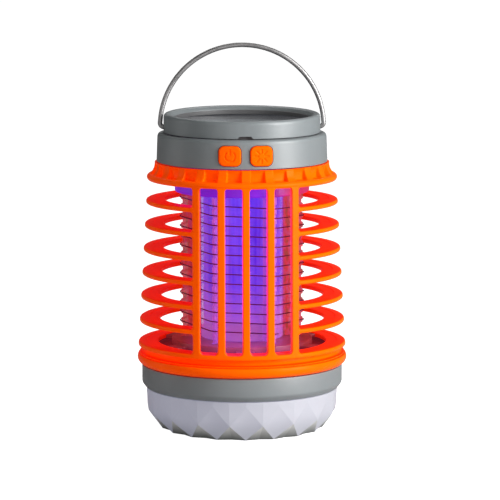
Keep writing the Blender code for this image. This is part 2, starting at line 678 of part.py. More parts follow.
# ---- top housing ----------------------------------------------------------------------------
def rounded_slab(size, corner, y_back, y_front):
    """Upright slab along Y with four rounded corners, centred on X and Z."""
    half_w, half_h = size[0] / 2 - corner, size[1] / 2 - corner
    bm = bmesh.new()
    outline = []
    for cx, cz, start in ((half_w, half_h, 0), (-half_w, half_h, 90),
                          (-half_w, -half_h, 180), (half_w, -half_h, 270)):
        for i in range(5):
            a = radians(start + 22.5 * i)
            outline.append(bm.verts.new((cx + corner * cos(a), y_back, cz + corner * sin(a))))
    face = bm.faces.new(outline)
    pulled = bmesh.ops.extrude_face_region(bm, geom=[face])
    moved = [g for g in pulled["geom"] if isinstance(g, bmesh.types.BMVert)]
    bmesh.ops.translate(bm, vec=(0, y_front - y_back, 0), verts=moved)
    return bm


def top_housing(finish):
    shoulder = arc((HOUSING_TOP_R - HOUSING_SHOULDER, HOUSING_TOP_Z - HOUSING_SHOULDER),
                   HOUSING_SHOULDER, 90, 0, 4)
    inner = HOUSING_BOTTOM_R - HOUSING_WALL
    housing = turned("top_housing", [
        *shoulder,
        (HOUSING_BOTTOM_R, HOUSING_BOTTOM_Z),
        (inner, HOUSING_BOTTOM_Z),
        (inner - HOUSING_DRAFT, HOUSING_TOP_Z - HOUSING_LEDGE_T),
        (HOUSING_LEDGE_R, HOUSING_TOP_Z - HOUSING_LEDGE_T),
        (HOUSING_LEDGE_R, HOUSING_TOP_Z),
    ], finish)
    hole_size = (KEY_SIZE[0] + 2 * GAP, KEY_SIZE[1] + 2 * GAP)
    for name, x in (("power_hole", -KEY_X), ("light_hole", KEY_X)):
        hole = rounded_slab(hole_size, KEY_CORNER + GAP, -CUT_INNER_Y, -CUT_OUTER_Y)
        hole = mesh_object(name, hole, cutter=True)
        hole.location = (x, 0, KEY_Z)
        cut(housing, hole)
    port = rounded_slab(PORT_HOLE, PORT_HOLE_CORNER, CUT_OUTER_Y, CUT_INNER_Y)
    port = mesh_object("port_hole", port, cutter=True)
    port.location = (0, 0, PORT_Z)
    cut(housing, port)


def keys(finish, switch_finish, plunger_finish):
    """Push keys whose faces follow the housing, with their tact switches behind them."""
    face = cylinder_mesh(KEY_FACE_R, 2 * KEY_SIZE[1], (0, 0, KEY_Z), sides=120)
    face = mesh_object("key_face_round", face, cutter=True)
    for name, x in (("power", -KEY_X), ("light", KEY_X)):
        slab = rounded_slab(KEY_SIZE, KEY_CORNER, KEY_BACK_Y, -CUT_OUTER_Y)
        key = mesh_object(f"{name}_key", slab, finish)
        key.location = (x, 0, KEY_Z)
        cut(key, face, "INTERSECT")
        switch_y = SWITCH_FRONT_Y + SWITCH_SIZE[1] / 2
        switch = box(f"{name}_switch", SWITCH_SIZE, (x, switch_y, KEY_Z), switch_finish)
        bore = cylinder(f"{name}_switch_bore", PLUNGER_R + GAP, 2 * SWITCH_BORE_DEPTH,
                        (x, SWITCH_FRONT_Y, KEY_Z), axis="Y", sides=16, cutter=True)
        cut(switch, bore)
        front, back = KEY_BACK_Y + GAP, SWITCH_FRONT_Y + PLUNGER_DEPTH
        cylinder(f"{name}_plunger", PLUNGER_R, back - front, (x, (front + back) / 2, KEY_Z),
                 plunger_finish, axis="Y", sides=16)


def switch_board(finish):
    y = SWITCH_FRONT_Y + SWITCH_SIZE[1] + GAP + SWITCH_BOARD_SIZE[1] / 2
    box("switch_board", SWITCH_BOARD_SIZE, (0, y, KEY_Z), finish)


def bezel(finish):
    """Ring that clamps the solar panel and carries the bail's two pivot holes."""
    fillet = arc((BEZEL_R - BEZEL_FILLET, BEZEL_TOP_Z - BEZEL_FILLET), BEZEL_FILLET, 90, 0, 4)
    ring = turned("bezel", [
        *fillet,
        (BEZEL_R, BEZEL_BOTTOM_Z),
        (BEZEL_BORE_R, BEZEL_BOTTOM_Z),
        (BEZEL_BORE_R, BEZEL_LIP_Z),
        (BEZEL_LIP_R, BEZEL_LIP_Z),
        (BEZEL_LIP_R, BEZEL_LIP_TOP_Z),
    ], finish)
    for side, x in (("left", -BEZEL_R), ("right", BEZEL_R)):
        hole = cylinder(f"bail_hole_{side}", BAIL_WIRE_R + GAP, THROUGH, (x, 0, BAIL_PIVOT_Z),
                        axis="X", sides=16, cutter=True)
        cut(ring, hole)
    notch = box_mesh((NOTCH_WIDE, THROUGH, 2 * NOTCH_HEIGHT), (0, -BEZEL_R, BEZEL_BOTTOM_Z))
    for v in notch.verts:
        if v.co.z > BEZEL_BOTTOM_Z:
            v.co.x *= NOTCH_NARROW / NOTCH_WIDE
    cut(ring, mesh_object("bezel_notch", notch, cutter=True))


def solar_panel(finish):
    cylinder("solar_panel", PANEL_R, PANEL_T, (0, 0, PANEL_Z + PANEL_T / 2), finish,
             sides=TURN_STEPS)


def bail(finish):
    """Half-round wire handle on two in-turned ends; its origin is on the pivot axis."""
    lift = BAIL_BEND / BAIL_R
    half = [(BAIL_END_X, 0.0), (BAIL_R - BAIL_BEND, 0.0), (BAIL_R - 0.5 * BAIL_BEND, 0.15 * BAIL_BEND)]
    arch = [(BAIL_R * cos(lift + (pi - 2 * lift) * i / BAIL_STEPS),
             BAIL_R * sin(lift + (pi - 2 * lift) * i / BAIL_STEPS))
            for i in range(BAIL_STEPS + 1)]
    outline = half + arch + [(-x, z) for x, z in reversed(half)]
    curve = bpy.data.curves.new("bail", "CURVE")
    curve.dimensions = "3D"
    curve.bevel_depth = BAIL_WIRE_R
    curve.bevel_resolution = 2
    curve.use_fill_caps = True
    spline = curve.splines.new("POLY")
    spline.points.add(len(outline) - 1)
    for point, (x, z) in zip(spline.points, outline):
        point.co = (x, 0.0, z, 1.0)
    handle = add_object("bail", curve, finish)
    handle.location = (0, 0, BAIL_PIVOT_Z)


def electronics(looks):
    cylinder("battery_cell", CELL_R, CELL_LENGTH, (0, 0, CELL_Z), looks["cell"], axis="X",
             sides=28)
    board_z = MAIN_BOARD_Z + BOARD_T / 2
    box("control_board", MAIN_BOARD_SIZE, (0, MAIN_BOARD_Y, board_z), looks["board"])
    top = MAIN_BOARD_Z + BOARD_T + GAP
    box("step_up_transformer", TRANSFORMER_SIZE,
        (TRANSFORMER_X, TALL_PARTS_Y, top + TRANSFORMER_SIZE[2] / 2), looks["black"])
    cylinder("storage_capacitor", CAPACITOR_R, CAPACITOR_HEIGHT,
             (CAPACITOR_X, TALL_PARTS_Y, top + CAPACITOR_HEIGHT / 2), looks["cell"],
             sides=20)
    socket = box("usb_socket", PORT_SIZE,
                 (0, PORT_FACE_Y - PORT_SIZE[1] / 2, PORT_Z), looks["steel"])
    mouth = (PORT_SIZE[0] - 2 * PORT_WALL, THROUGH, PORT_SIZE[2] - 2 * PORT_WALL)
    cut(socket, box("usb_mouth", mouth, (0, PORT_FACE_Y, PORT_Z), cutter=True))


def port_cover(finish):
    """Rubber flap over the charging socket, hanging from a hinge along its upper edge."""
    hinge = bpy.data.objects.new("port_cover_hinge", None)
    bpy.data.collections[SCENE_COLLECTION].objects.link(hinge)
    hinge.location = (0, COVER_FACE_Y + COVER_SIZE[1] / 2, PORT_Z + COVER_SIZE[2] / 2)
    bm = rounded_slab((COVER_SIZE[0], COVER_SIZE[2]), COVER_CORNER, -COVER_SIZE[1] / 2,
                      COVER_SIZE[1] / 2)
    bmesh.ops.translate(bm, vec=(0, 0, -COVER_SIZE[2] / 2), verts=bm.verts)
    flap = mesh_object("port_cover", bm, finish)
    flap.parent = hinge


def build():
    clear_scene()
    looks = finishes()
    lamp_shade(looks["milky"])
    base_ring(looks["grey"])
    lamp_board(looks["board"], looks["led"])
    base_rim(looks["orange"])
    bug_tray(looks["plum"])
    contact_pins(looks["brass"])
    cage_crown(looks["orange"])
    cage_fins(looks["orange"])
    cage_foot_ring(looks["orange"])
    cage_grille("cage_front_grille", looks["orange"], 0.0)
    cage_grille("cage_back_grille", looks["orange"], pi)
    grid_base(looks["plum"])
    grid_ceiling(looks["plum"])
    grid_posts(looks["plum"])
    grid_wire("grid_wire_positive", looks["steel"], GRID_WIRE_TOP_Z, GRID_TURNS[0])
    second_z = GRID_WIRE_TOP_Z - GRID_WIRE_PITCH
    grid_wire("grid_wire_negative", looks["steel"], second_z, GRID_TURNS[1])
    light_tube(looks["violet"])
    uv_led_board(looks["board"], looks["black"])
    top_housing(looks["grey"])
    keys(looks["orange"], looks["black"], looks["plum"])
    switch_board(looks["board"])
    bezel(looks["grey"])
    solar_panel(looks["panel"])
    bail(looks["steel"])
    electronics(looks)
    port_cover(looks["rubber"])


build()
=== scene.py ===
"""Looks of the lantern bug zapper, built over its CAD frame.

Metres, +Z up, keys facing -Y. Every piece rides on its CAD body.
"""

from collections import namedtuple
from math import asin, atan2, cos, degrees, hypot, pi, radians, sin

import bmesh
import bpy
import numpy as np
from mathutils import Matrix, Vector
from mathutils.geometry import delaunay_2d_cdt


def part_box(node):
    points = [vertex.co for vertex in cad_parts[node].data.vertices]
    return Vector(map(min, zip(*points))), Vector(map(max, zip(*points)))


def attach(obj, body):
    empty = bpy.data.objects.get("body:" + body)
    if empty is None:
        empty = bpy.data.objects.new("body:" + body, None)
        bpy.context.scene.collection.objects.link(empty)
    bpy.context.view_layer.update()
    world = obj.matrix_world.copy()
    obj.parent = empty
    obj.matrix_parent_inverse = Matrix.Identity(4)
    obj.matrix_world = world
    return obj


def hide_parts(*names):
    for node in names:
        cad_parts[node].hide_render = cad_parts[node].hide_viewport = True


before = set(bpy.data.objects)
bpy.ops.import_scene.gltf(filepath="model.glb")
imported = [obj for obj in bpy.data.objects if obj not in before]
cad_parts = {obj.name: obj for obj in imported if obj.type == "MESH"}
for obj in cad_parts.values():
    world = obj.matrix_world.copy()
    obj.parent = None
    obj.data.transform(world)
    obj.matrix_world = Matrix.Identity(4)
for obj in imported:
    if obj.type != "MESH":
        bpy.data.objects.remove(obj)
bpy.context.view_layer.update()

MM = 0.001


# ---- sizes read from the CAD nodes ----------------------------------------------------------
def low(node):
    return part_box(node)[0] / MM


def high(node):
    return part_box(node)[1] / MM


FIN_LEVELS = 6
FIN_T = high("cage_fin_left_1").z - low("cage_fin_left_1").z
FIN_TOP_Z = (high("cage_fin_left_1").z + low("cage_fin_left_1").z) / 2
FIN_PITCH = (low("cage_fin_left_1").z - low("cage_fin_left_6").z) / (FIN_LEVELS - 1)
FIN_TOP_R = -low("cage_fin_left_1").x
FIN_GROWTH = (low("cage_fin_left_1").x - low("cage_fin_left_6").x) / (FIN_LEVELS - 1)
CAGE_BOTTOM_Z = low("cage_foot_ring").z
CROWN_BOTTOM_Z = low("cage_crown").z
CROWN_TOP_Z = high("cage_crown").z


def cage_radius(z):
    """Outer radius of the cage, which widens from the crown to the foot ring."""
    return FIN_TOP_R + FIN_GROWTH * (FIN_TOP_Z - z) / FIN_PITCH


# ---- outlines, in millimetres ---------------------------------------------------------------
def on_circle(r, turn, z):
    """A point round the axis; turn 0 is at the front."""
    a = radians(turn)
    return Vector((r * sin(a), -r * cos(a), z))


def arc(centre, size, start, end, steps):
    """Points (radius, height) along an arc or an ellipse, angles in degrees."""
    wide, tall = size if isinstance(size, tuple) else (size, size)
    angles = [radians(start + (end - start) * i / steps) for i in range(steps + 1)]
    return [(centre[0] + wide * cos(a), centre[1] + tall * sin(a)) for a in angles]


def softened(corners, steps=4):
    """Rounds the corners (r, z, fillet) of a closed outline; those without a fillet stay."""
    outline = []
    for i, corner in enumerate(corners):
        here = Vector(corner[:2])
        if len(corner) < 3:
            outline.append(tuple(here))
            continue
        back = Vector(corners[i - 1][:2]) - here
        ahead = Vector(corners[(i + 1) % len(corners)][:2]) - here
        start = here + back.normalized() * min(corner[2], back.length * 0.49)
        end = here + ahead.normalized() * min(corner[2], ahead.length * 0.49)
        for k in range(steps + 1):
            t = k / steps
            outline.append(tuple(start * (1 - t) ** 2 + here * (2 * t * (1 - t)) + end * t ** 2))
    return outline


def resampled(points, count):
    """The same line with points at equal distances."""
    points = np.array(points, float)
    along = np.concatenate([[0], np.cumsum(np.hypot(*np.diff(points, axis=0).T))])
    wanted = np.linspace(0, along[-1], count)
    return np.stack([np.interp(wanted, along, points[:, k]) for k in (0, 1)], axis=1)


def rounded_outline(half_w, half_h, corners, steps=6, counts=(1, 1), centre=(0, 0)):
    """Rounded rectangle, anticlockwise: corner radii (low, high), sides split by (across, up)."""
    bottom, top = corners
    across, up = counts
    sides = ((1, -1, -90, bottom, up), (1, 1, 0, top, across),
             (-1, 1, 90, top, up), (-1, -1, 180, bottom, across))
    bends = [arc((centre[0] + sx * (half_w - r), centre[1] + sz * (half_h - r)), r,
                 start, start + 90, steps) for sx, sz, start, r, count in sides]
    outline = []
    for k, bend in enumerate(bends):
        (x0, z0), (x1, z1) = bend[-1], bends[(k + 1) % 4][0]
        count = sides[k][4]
        outline += bend
        outline += [(x0 + (x1 - x0) * i / count, z0 + (z1 - z0) * i / count)
                    for i in range(1, count)]
    return outline


def eased(t):
    """0 to 1 with a soft start and end."""
    t = np.clip(t, 0, 1)
    return t * t * (3 - 2 * t)


# ---- meshes, given in millimetres -----------------------------------------------------------
def linked(name, data):
    obj = bpy.data.objects.new(name, data)
    bpy.context.scene.collection.objects.link(obj)
    return obj


def mesh_object(name, bm, finishes):
    """An object from a bmesh, which is freed."""
    mesh = bpy.data.meshes.new(name)
    bm.to_mesh(mesh)
    bm.free()
    for finish in finishes:
        mesh.materials.append(finish)
    return linked(name, mesh)


def add_mesh(name, verts, faces, finish, sharp=32.0):
    """A mesh from points, welded, facing out and smooth except at its sharp edges."""
    bm = bmesh.new()
    made = [bm.verts.new(Vector(v) * MM) for v in verts]
    for face in faces:
        corners = [made[i] for i in face]
        if len(set(corners)) > 2:
            try:
                bm.faces.new(corners)
            except ValueError:
                continue
    bmesh.ops.remove_doubles(bm, verts=bm.verts, dist=0.002 * MM)
    loose = [v for v in bm.verts if not v.link_faces]
    bmesh.ops.delete(bm, geom=loose, context="VERTS")
    bmesh.ops.recalc_face_normals(bm, faces=bm.faces)
    obj = mesh_object(name, bm, [finish] if finish else [])
    obj.data.shade_smooth()
    obj.data.set_sharp_from_angle(angle=radians(sharp))
    return obj


def add_patch(verts, faces, points, parts):
    """Adds a patch's points and faces to those of a mesh."""
    faces += [tuple(len(verts) + k for k in part) for part in parts]
    verts += points


def bridged(rings, looped=False, closed=True):
    """Points of the rings, and the faces that join each ring to the next."""
    count = len(rings[0])
    pairs = [(k, k + 1) for k in range(len(rings) - 1)]
    if looped:
        pairs.append((len(rings) - 1, 0))
    faces = []
    for a, b in pairs:
        for i in range(count if closed else count - 1):
            j = (i + 1) % count
            faces.append((a * count + i, a * count + j, b * count + j, b * count + i))
    return [point for ring in rings for point in ring], faces


def loft(name, rings, finish, sharp=32.0):
    """A skin over rings of points, with a face over each end."""
    verts, faces = bridged(rings)
    count = len(rings[0])
    faces.append(tuple(range(count)))
    faces.append(tuple(reversed(range(len(verts) - count, len(verts)))))
    return add_mesh(name, verts, faces, finish, sharp)


def turned(name, outline, finish, steps=192, sharp=32.0):
    """A closed (radius, height) outline turned round the Z axis."""
    rings = [[on_circle(r, 360 * s / steps, z) for r, z in outline] for s in range(steps)]
    return add_mesh(name, *bridged(rings, looped=True), finish, sharp)


def swept(name, path, wire_r, finish, sides=12):
    """A round wire along a path of points, with rounded ends."""
    path = [Vector(p) for p in path]
    start = (path[1] - path[0]).normalized()
    other = Vector((0, 0, 1)) if abs(start.z) < 0.9 else Vector((1, 0, 0))
    normal = start.cross(other).normalized()
    stations = []
    for i, spot in enumerate(path):
        tangent = (path[min(i + 1, len(path) - 1)] - path[max(i - 1, 0)]).normalized()
        normal = (normal - tangent * normal.dot(tangent)).normalized()
        stations.append((spot, tangent, normal, wire_r))
    caps = []
    for way, (spot, tangent, normal, size) in ((-1, stations[0]), (1, stations[-1])):
        caps.append([(spot + tangent * way * size * sin(radians(a)), tangent, normal,
                      size * cos(radians(a))) for a in (45, 75)])
    stations = caps[0][::-1] + stations + caps[1]
    turns = [2 * pi * k / sides for k in range(sides)]
    rings = [[spot + (normal * cos(a) + tangent.cross(normal) * sin(a)) * size for a in turns]
             for spot, tangent, normal, size in stations]
    return loft(name, rings, finish, 50.0)


def slab(name, outline, y0, y1, centre=(0, 0, 0)):
    """An outline in X and Z drawn out along Y, as a cutter."""
    rings = [[(centre[0] + x, centre[1] + y, centre[2] + z) for x, z in outline]
             for y in (y0, y1)]
    return loft(name, rings, None)


HOLE_SIDES = 24


def round_cutter(r, half_length, spot, angle, axis):
    outline = arc((0, 0), r, 0, 360 - 360 / HOLE_SIDES, HOLE_SIDES - 1)
    return moved(slab("round_hole", outline, -half_length, half_length), spot, angle, axis)


def moved(obj, spot, angle=0.0, axis="Z"):
    """Turns a mesh round an axis by an angle in degrees, then carries it to a spot."""
    obj.data.transform(Matrix.Translation(Vector(spot) * MM)
                       @ Matrix.Rotation(radians(angle), 4, axis))
    return obj


def even_normals(obj):
    step = obj.modifiers.new("even_normals", "WEIGHTED_NORMAL")
    step.keep_sharp = True


def block(name, centre, size, finish, edge=0.4):
    """A box with rounded edges."""
    bm = bmesh.new()
    bmesh.ops.create_cube(bm, size=1.0)
    bmesh.ops.scale(bm, vec=Vector(size) * MM, verts=bm.verts)
    bmesh.ops.translate(bm, vec=Vector(centre) * MM, verts=bm.verts)
    bmesh.ops.bevel(bm, geom=list(bm.edges), offset=edge * MM, segments=3, profile=0.5,
                    affect="EDGES")
    obj = mesh_object(name, bm, [finish])
    obj.data.shade_smooth()
    even_normals(obj)
    return obj


def merged(name, objects):
    """Joins several meshes into one object."""
    bm = bmesh.new()
    slots = []
    for obj in objects:
        start = len(bm.faces)
        bm.from_mesh(obj.data)
        bm.faces.ensure_lookup_table()
        materials = obj.data.materials
        slots += [mat for mat in materials if mat not in slots]
        for face in bm.faces[start:]:
            face.material_index = slots.index(materials[face.material_index])
    made = mesh_object(name, bm, slots)
    for obj in objects:
        bpy.data.objects.remove(obj, do_unlink=True)
    return made


def cut_out(obj, cutters):
    """Cuts closed meshes out of obj for good."""
    for cutter in cutters:
        step = obj.modifiers.new("cut", "BOOLEAN")
        step.operation = "DIFFERENCE"
        step.solver = "EXACT"
        step.object = cutter
        bpy.context.view_layer.update()
        graph = bpy.context.evaluated_depsgraph_get()
        mesh = bpy.data.meshes.new_from_object(obj.evaluated_get(graph))
        obj.modifiers.remove(step)
        obj.data = mesh
        bpy.data.objects.remove(cutter, do_unlink=True)
    obj.data.shade_smooth()
    obj.data.set_sharp_from_angle(angle=radians(32))


def place(obj, body, slot, *nodes):
    """Rides a piece on its body, in the place of the CAD nodes named."""
    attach(obj, body)
    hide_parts(*nodes)


def fitted(name, node, finish, slot, edge):
    """A rounded box with the size and the place of a CAD node of the lantern."""
    lowest, highest = low(node), high(node)
    piece = block(name, (lowest + highest) / 2, highest - lowest, finish, edge)
    place(piece, "lantern", slot, node)


# ---- materials ------------------------------------------------------------------------------
def linear(red, green, blue):
    """Display colour (0-255) as scene-linear values."""
    shares = [v / 255 for v in (red, green, blue)]
    return tuple(v / 12.92 if v <= 0.04045 else ((v + 0.055) / 1.055) ** 2.4 for v in shares)


def shade_of(colour, factor):
    return tuple(c * factor for c in colour)


class Nodes:
    """A node tree with short ways to add nodes and wire them."""

    def __init__(self, tree):
        self.tree = tree

    def node(self, kind, **settings):
        made = self.tree.nodes.new(kind)
        for key, value in settings.items():
            setattr(made, key, value)
        return made

    def feed(self, socket, value):
        """Gives a socket a link, a colour or a number."""
        if isinstance(value, bpy.types.NodeSocket):
            self.tree.links.new(value, socket)
        else:
            socket.default_value = (*value, 1.0) if isinstance(value, tuple) else value

    def math(self, operation, first, second=0.0):
        made = self.node("ShaderNodeMath", operation=operation)
        self.feed(made.inputs[0], first)
        self.feed(made.inputs[1], second)
        return made.outputs[0]

    def times(self, first, second):
        return self.math("MULTIPLY", first, second)

    def spread(self, source, low_value, high_value, start=0.3, end=0.7):
        """Maps the source's start and end to the low and the high value."""
        made = self.node("ShaderNodeMapRange")
        values = {"Value": source, "From Min": start, "From Max": end,
                  "To Min": low_value, "To Max": high_value}
        for socket, value in values.items():
            self.feed(made.inputs[socket], value)
        return made.outputs["Result"]

    def rise(self, source, start, end):
        """0 up to the start and 1 from the end, both in millimetres."""
        return self.spread(source, 0.0, 1.0, start * MM, end * MM)

    def fall(self, source, start, end):
        return self.spread(source, 1.0, 0.0, start * MM, end * MM)

    def ramp(self, source, *stops):
        made = self.node("ShaderNodeValToRGB")
        points = made.color_ramp.elements
        while len(points) < len(stops):
            points.new(0.5)
        for point, (position, colour) in zip(points, stops):
            point.position = position
            point.color = (*colour, 1.0)
        self.feed(made.inputs["Fac"], source)
        return made.outputs["Color"]

    def mottle(self, source, colour, dark, light):
        """A colour that wanders between two shades of itself."""
        return self.ramp(source, (0.3, shade_of(colour, dark)), (0.7, shade_of(colour, light)))

    def mix(self, factor, first, second):
        made = self.node("ShaderNodeMix", data_type="RGBA")
        for index, value in ((0, factor), (6, first), (7, second)):
            self.feed(made.inputs[index], value)
        return made.outputs[2]

    def parts(self, vector):
        split = self.node("ShaderNodeSeparateXYZ")
        self.feed(split.inputs[0], vector)
        return split.outputs["X"], split.outputs["Y"], split.outputs["Z"]


class Finish(Nodes):
    """A material with a Principled shader; its detail is placed by object coordinates."""

    def __init__(self, name, roughness, metallic=0.0, **sockets):
        self.material = bpy.data.materials.new(name)
        self.material.use_nodes = True
        super().__init__(self.material.node_tree)
        self.shader = self.tree.nodes["Principled BSDF"]
        self.give(Roughness=roughness, Metallic=metallic, **sockets)
        self.place = self.node("ShaderNodeTexCoord").outputs["Object"]
        self.x, self.y, self.z = self.parts(self.place)

    def give(self, **sockets):
        """Feeds the shader's sockets, their names with underscores for spaces."""
        for socket, value in sockets.items():
            self.feed(self.shader.inputs[socket.replace("_", " ")], value)
        return self.material

    def shine(self, body, strength, light=None, **sockets):
        """A body that also gives off some light, of its own colour or of another."""
        return self.give(Base_Color=body, Emission_Color=light or body,
                         Emission_Strength=strength, **sockets)

    def noise(self, scale, detail=3.0, stretch=None):
        made = self.node("ShaderNodeTexNoise")
        made.inputs["Scale"].default_value = scale
        made.inputs["Detail"].default_value = detail
        made.inputs["Roughness"].default_value = 0.55
        place = self.place
        if stretch:
            mapping = self.node("ShaderNodeMapping")
            mapping.inputs["Scale"].default_value = stretch
            self.feed(mapping.inputs["Vector"], place)
            place = mapping.outputs["Vector"]
        self.feed(made.inputs["Vector"], place)
        return made.outputs["Fac"]

    def grain(self, source, strength):
        """A relief of 0.05 mm in the surface."""
        made = self.node("ShaderNodeBump")
        made.inputs["Strength"].default_value = strength
        made.inputs["Distance"].default_value = 0.05 * MM
        self.feed(made.inputs["Height"], source)
        self.give(Normal=made.outputs["Normal"])


def plastic(name, colour, roughness, grain=900.0, bump=0.12, **sockets):
    """Moulded plastic: a faint mottle in its colour and a fine spark-eroded grain."""
    finish = Finish(name, roughness, **sockets)
    finish.body = finish.mottle(finish.noise(60.0), colour, 0.96, 1.04)
    fine = finish.noise(grain, detail=2.0)
    finish.grain(fine, bump)
    finish.give(Base_Color=finish.body,
                Roughness=finish.spread(fine, roughness * 0.92, roughness * 1.08))
    return finish


def orange_finish():
    """Glossy orange; painted shade reddens the fins' upper faces, a painted red glow covers it all and
    a painted pink glow of the tube lies on the window sides.
    """
    finish = plastic("orange_plastic", (0.97, 0.155, 0.0), 0.34, grain=420.0, bump=0.05,
                     Specular_IOR_Level=0.12, Specular_Tint=(1.0, 0.5, 0.15))
    x, y, z = finish.x, finish.y, finish.z
    # Painted light: a pink glow of the tube on faces over a millimetre under the skin, near the middle
    # of the front and back, between the low fins and the crown.
    reach = finish.math("SQRT", finish.math("ADD", finish.times(x, x), finish.times(y, y)))
    skin = finish.math("SUBTRACT", cage_radius(0) * MM, finish.times(z, FIN_GROWTH / FIN_PITCH))
    inner = finish.rise(finish.math("SUBTRACT", skin, reach), 0.4, 1.2)
    middle = finish.fall(finish.math("ABSOLUTE", x), 1.0, 20.0)
    height = finish.times(finish.rise(z, 41.0, 58.0), finish.fall(z, 104.0, 112.0))
    painted_tube_glow = finish.times(finish.times(inner, middle), height)
    # Painted shade: faces that point up, below the crown, take a redder colour.
    upward = finish.parts(finish.node("ShaderNodeTexCoord").outputs["Normal"])[2]
    flat = finish.spread(upward, 0.0, 1.0, 0.75, 0.97)
    painted_fin_top_shade = finish.times(flat, finish.fall(z, 104.0, 109.0))
    # Painted red glow over all the orange, for light through the plastic, with the pink glow added
    # where its mask reaches.
    return finish.shine(finish.mix(painted_fin_top_shade, finish.body, (0.90, 0.045, 0.0)), 1.0,
                        finish.mix(painted_tube_glow, (0.35, 0.0, 0.0), (0.70, 0.0, 0.50)))


def milky_finish():
    """The lamp's shade: white and cloudy, with a painted glow for light in the milky plastic, painted
    darker towards the floor.
    """
    finish = Finish("milky_shade", 0.38, Coat_Weight=0.3, Coat_Roughness=0.25)
    light = (0.150, 0.156, 0.215)
    # Painted light: a bluish-white glow over the whole shade, dimmed to six tenths at the floor as
    # painted shade.
    return finish.shine(finish.mottle(finish.noise(30.0), (0.42, 0.42, 0.435), 0.97, 1.03), 1.0,
                        finish.mix(finish.rise(finish.z, 0.0, 9.0), shade_of(light, 0.6), light),
                        Roughness=finish.spread(finish.noise(700.0), 0.34, 0.42))


def shade_foot_finish():
    """The small facets under the diamonds: duller, painted darker towards the floor as painted shade,
    with a faint painted glow.
    """
    finish = Finish("milky_foot_painted_shade", 0.5)
    cloud = finish.times(finish.math("SUBTRACT", finish.noise(60.0), 0.5), 0.25)
    height = finish.math("ADD", finish.rise(finish.z, 0.0, 7.0), cloud)
    # Painted shade: dark at the floor and lighter up towards the diamonds.
    painted_floor_shade = finish.ramp(height, (0.05, (0.15, 0.155, 0.15)), (0.8, (0.56, 0.56, 0.55)))
    return finish.shine(painted_floor_shade, 0.11)


def metal(name, colour, roughness, brush):
    """Bare metal with brushed streaks."""
    finish = Finish(name, roughness, metallic=1.0)
    streak = finish.noise(brush, detail=2.0)
    return finish.give(Base_Color=finish.mottle(streak, colour, 0.9, 1.08),
                       Roughness=finish.spread(streak, roughness * 0.8, roughness * 1.25))


def tube_finish():
    """Violet glass that glows where the diodes behind it are, a little paler towards its foot."""
    finish = Finish("violet_tube", 0.2, Specular_IOR_Level=0.25, Coat_Weight=0.12,
                    Coat_Roughness=0.05)
    cloud = finish.noise(260.0, stretch=(1.0, 1.0, 0.03))
    streaks = finish.math("ADD", cloud, finish.times(finish.noise(70.0), 0.35))
    body = finish.mix(finish.spread(streaks, 0.0, 1.0, 0.5, 0.9),
                      linear(88, 44, 200), linear(140, 92, 220))
    tint = finish.mix(finish.fall(finish.z, 46.0, 66.0), body, linear(166, 98, 190))
    return finish.shine(tint, 0.55, Alpha=0.66)


def diode_board_finish():
    finish = Finish("diode_board", 0.4)
    body = finish.ramp(finish.noise(90.0), (0.35, linear(34, 16, 235)), (0.65, linear(70, 40, 255)))
    return finish.shine(body, 1.2)


def rib_finish():
    """Smoky translucent plastic with a painted glow: lilac before the tube, painted light of the tube,
    and streaked brown with a dim red glow at the sides.
    """
    finish = Finish("rib_plastic", 0.3)
    aside = finish.rise(finish.math("ABSOLUTE", finish.x), 14.0, 19.0)
    lilac = finish.ramp(finish.noise(150.0), (0.3, linear(158, 92, 180)),
                        (0.7, linear(186, 112, 205)))
    brown = finish.ramp(finish.noise(800.0, stretch=(1.0, 1.0, 0.3)), (0.38, linear(116, 78, 62)),
                        (0.5, linear(200, 62, 76)), (0.62, linear(176, 84, 130)))
    # Painted light: a lilac glow before the tube and a dim red glow at the sides.
    return finish.shine(finish.mix(aside, lilac, brown), 1.0,
                        finish.mix(aside, linear(114, 54, 146), (0.20, 0.012, 0.014)), Alpha=0.8)


def glow_painted_plastic(name, middle, rim, strength, reach, both_sides=True):
    """Plastic with a painted glow of the diodes' light: one tint in the middle and another beyond the
    reach given.
    """
    finish = Finish(name, 0.4)
    aside = finish.rise(finish.math("ABSOLUTE", finish.x) if both_sides else finish.x, *reach)
    cloud = finish.noise(120.0)
    body = finish.mix(aside, finish.mottle(cloud, middle, 0.88, 1.14),
                      finish.mottle(cloud, rim, 0.88, 1.14))
    # Painted light: the plate gives off its tinted colour as the diodes' glow.
    return finish.shine(body, strength)


def glowing(name, colour, strength):
    finish = Finish(name, 0.3)
    body = finish.mottle(finish.noise(400.0), colour, 0.9, 1.0)
    return finish.shine(body, strength)


def solar_finish():
    """Dark cells in strips, with thin silver fingers, under clear resin, with a painted glow in their
    own colour.
    """
    strip_width, finger_pitch = 9.0 * MM, 2.6 * MM
    finish = Finish("solar_glass", 0.16, Coat_Weight=0.8, Coat_Roughness=0.05)
    strip = finish.math("FRACT", finish.math("ADD", finish.times(finish.x, 1 / strip_width), 0.5))
    gap = finish.math("LESS_THAN", strip, 0.035)
    finger = finish.math("FRACT", finish.times(finish.y, 1 / finger_pitch))
    thin = finish.math("LESS_THAN", finger, 0.045)
    cell = finish.ramp(finish.noise(260.0, detail=1.0), (0.3, linear(62, 63, 67)),
                       (0.7, linear(71, 72, 77)))
    lines = finish.mix(finish.times(thin, 0.5), cell, linear(118, 118, 120))
    body = finish.mix(finish.times(gap, 0.8), lines, linear(28, 28, 31))
    # Painted light: the panel gives off its own colour at full strength.
    return finish.shine(body, 1.0)


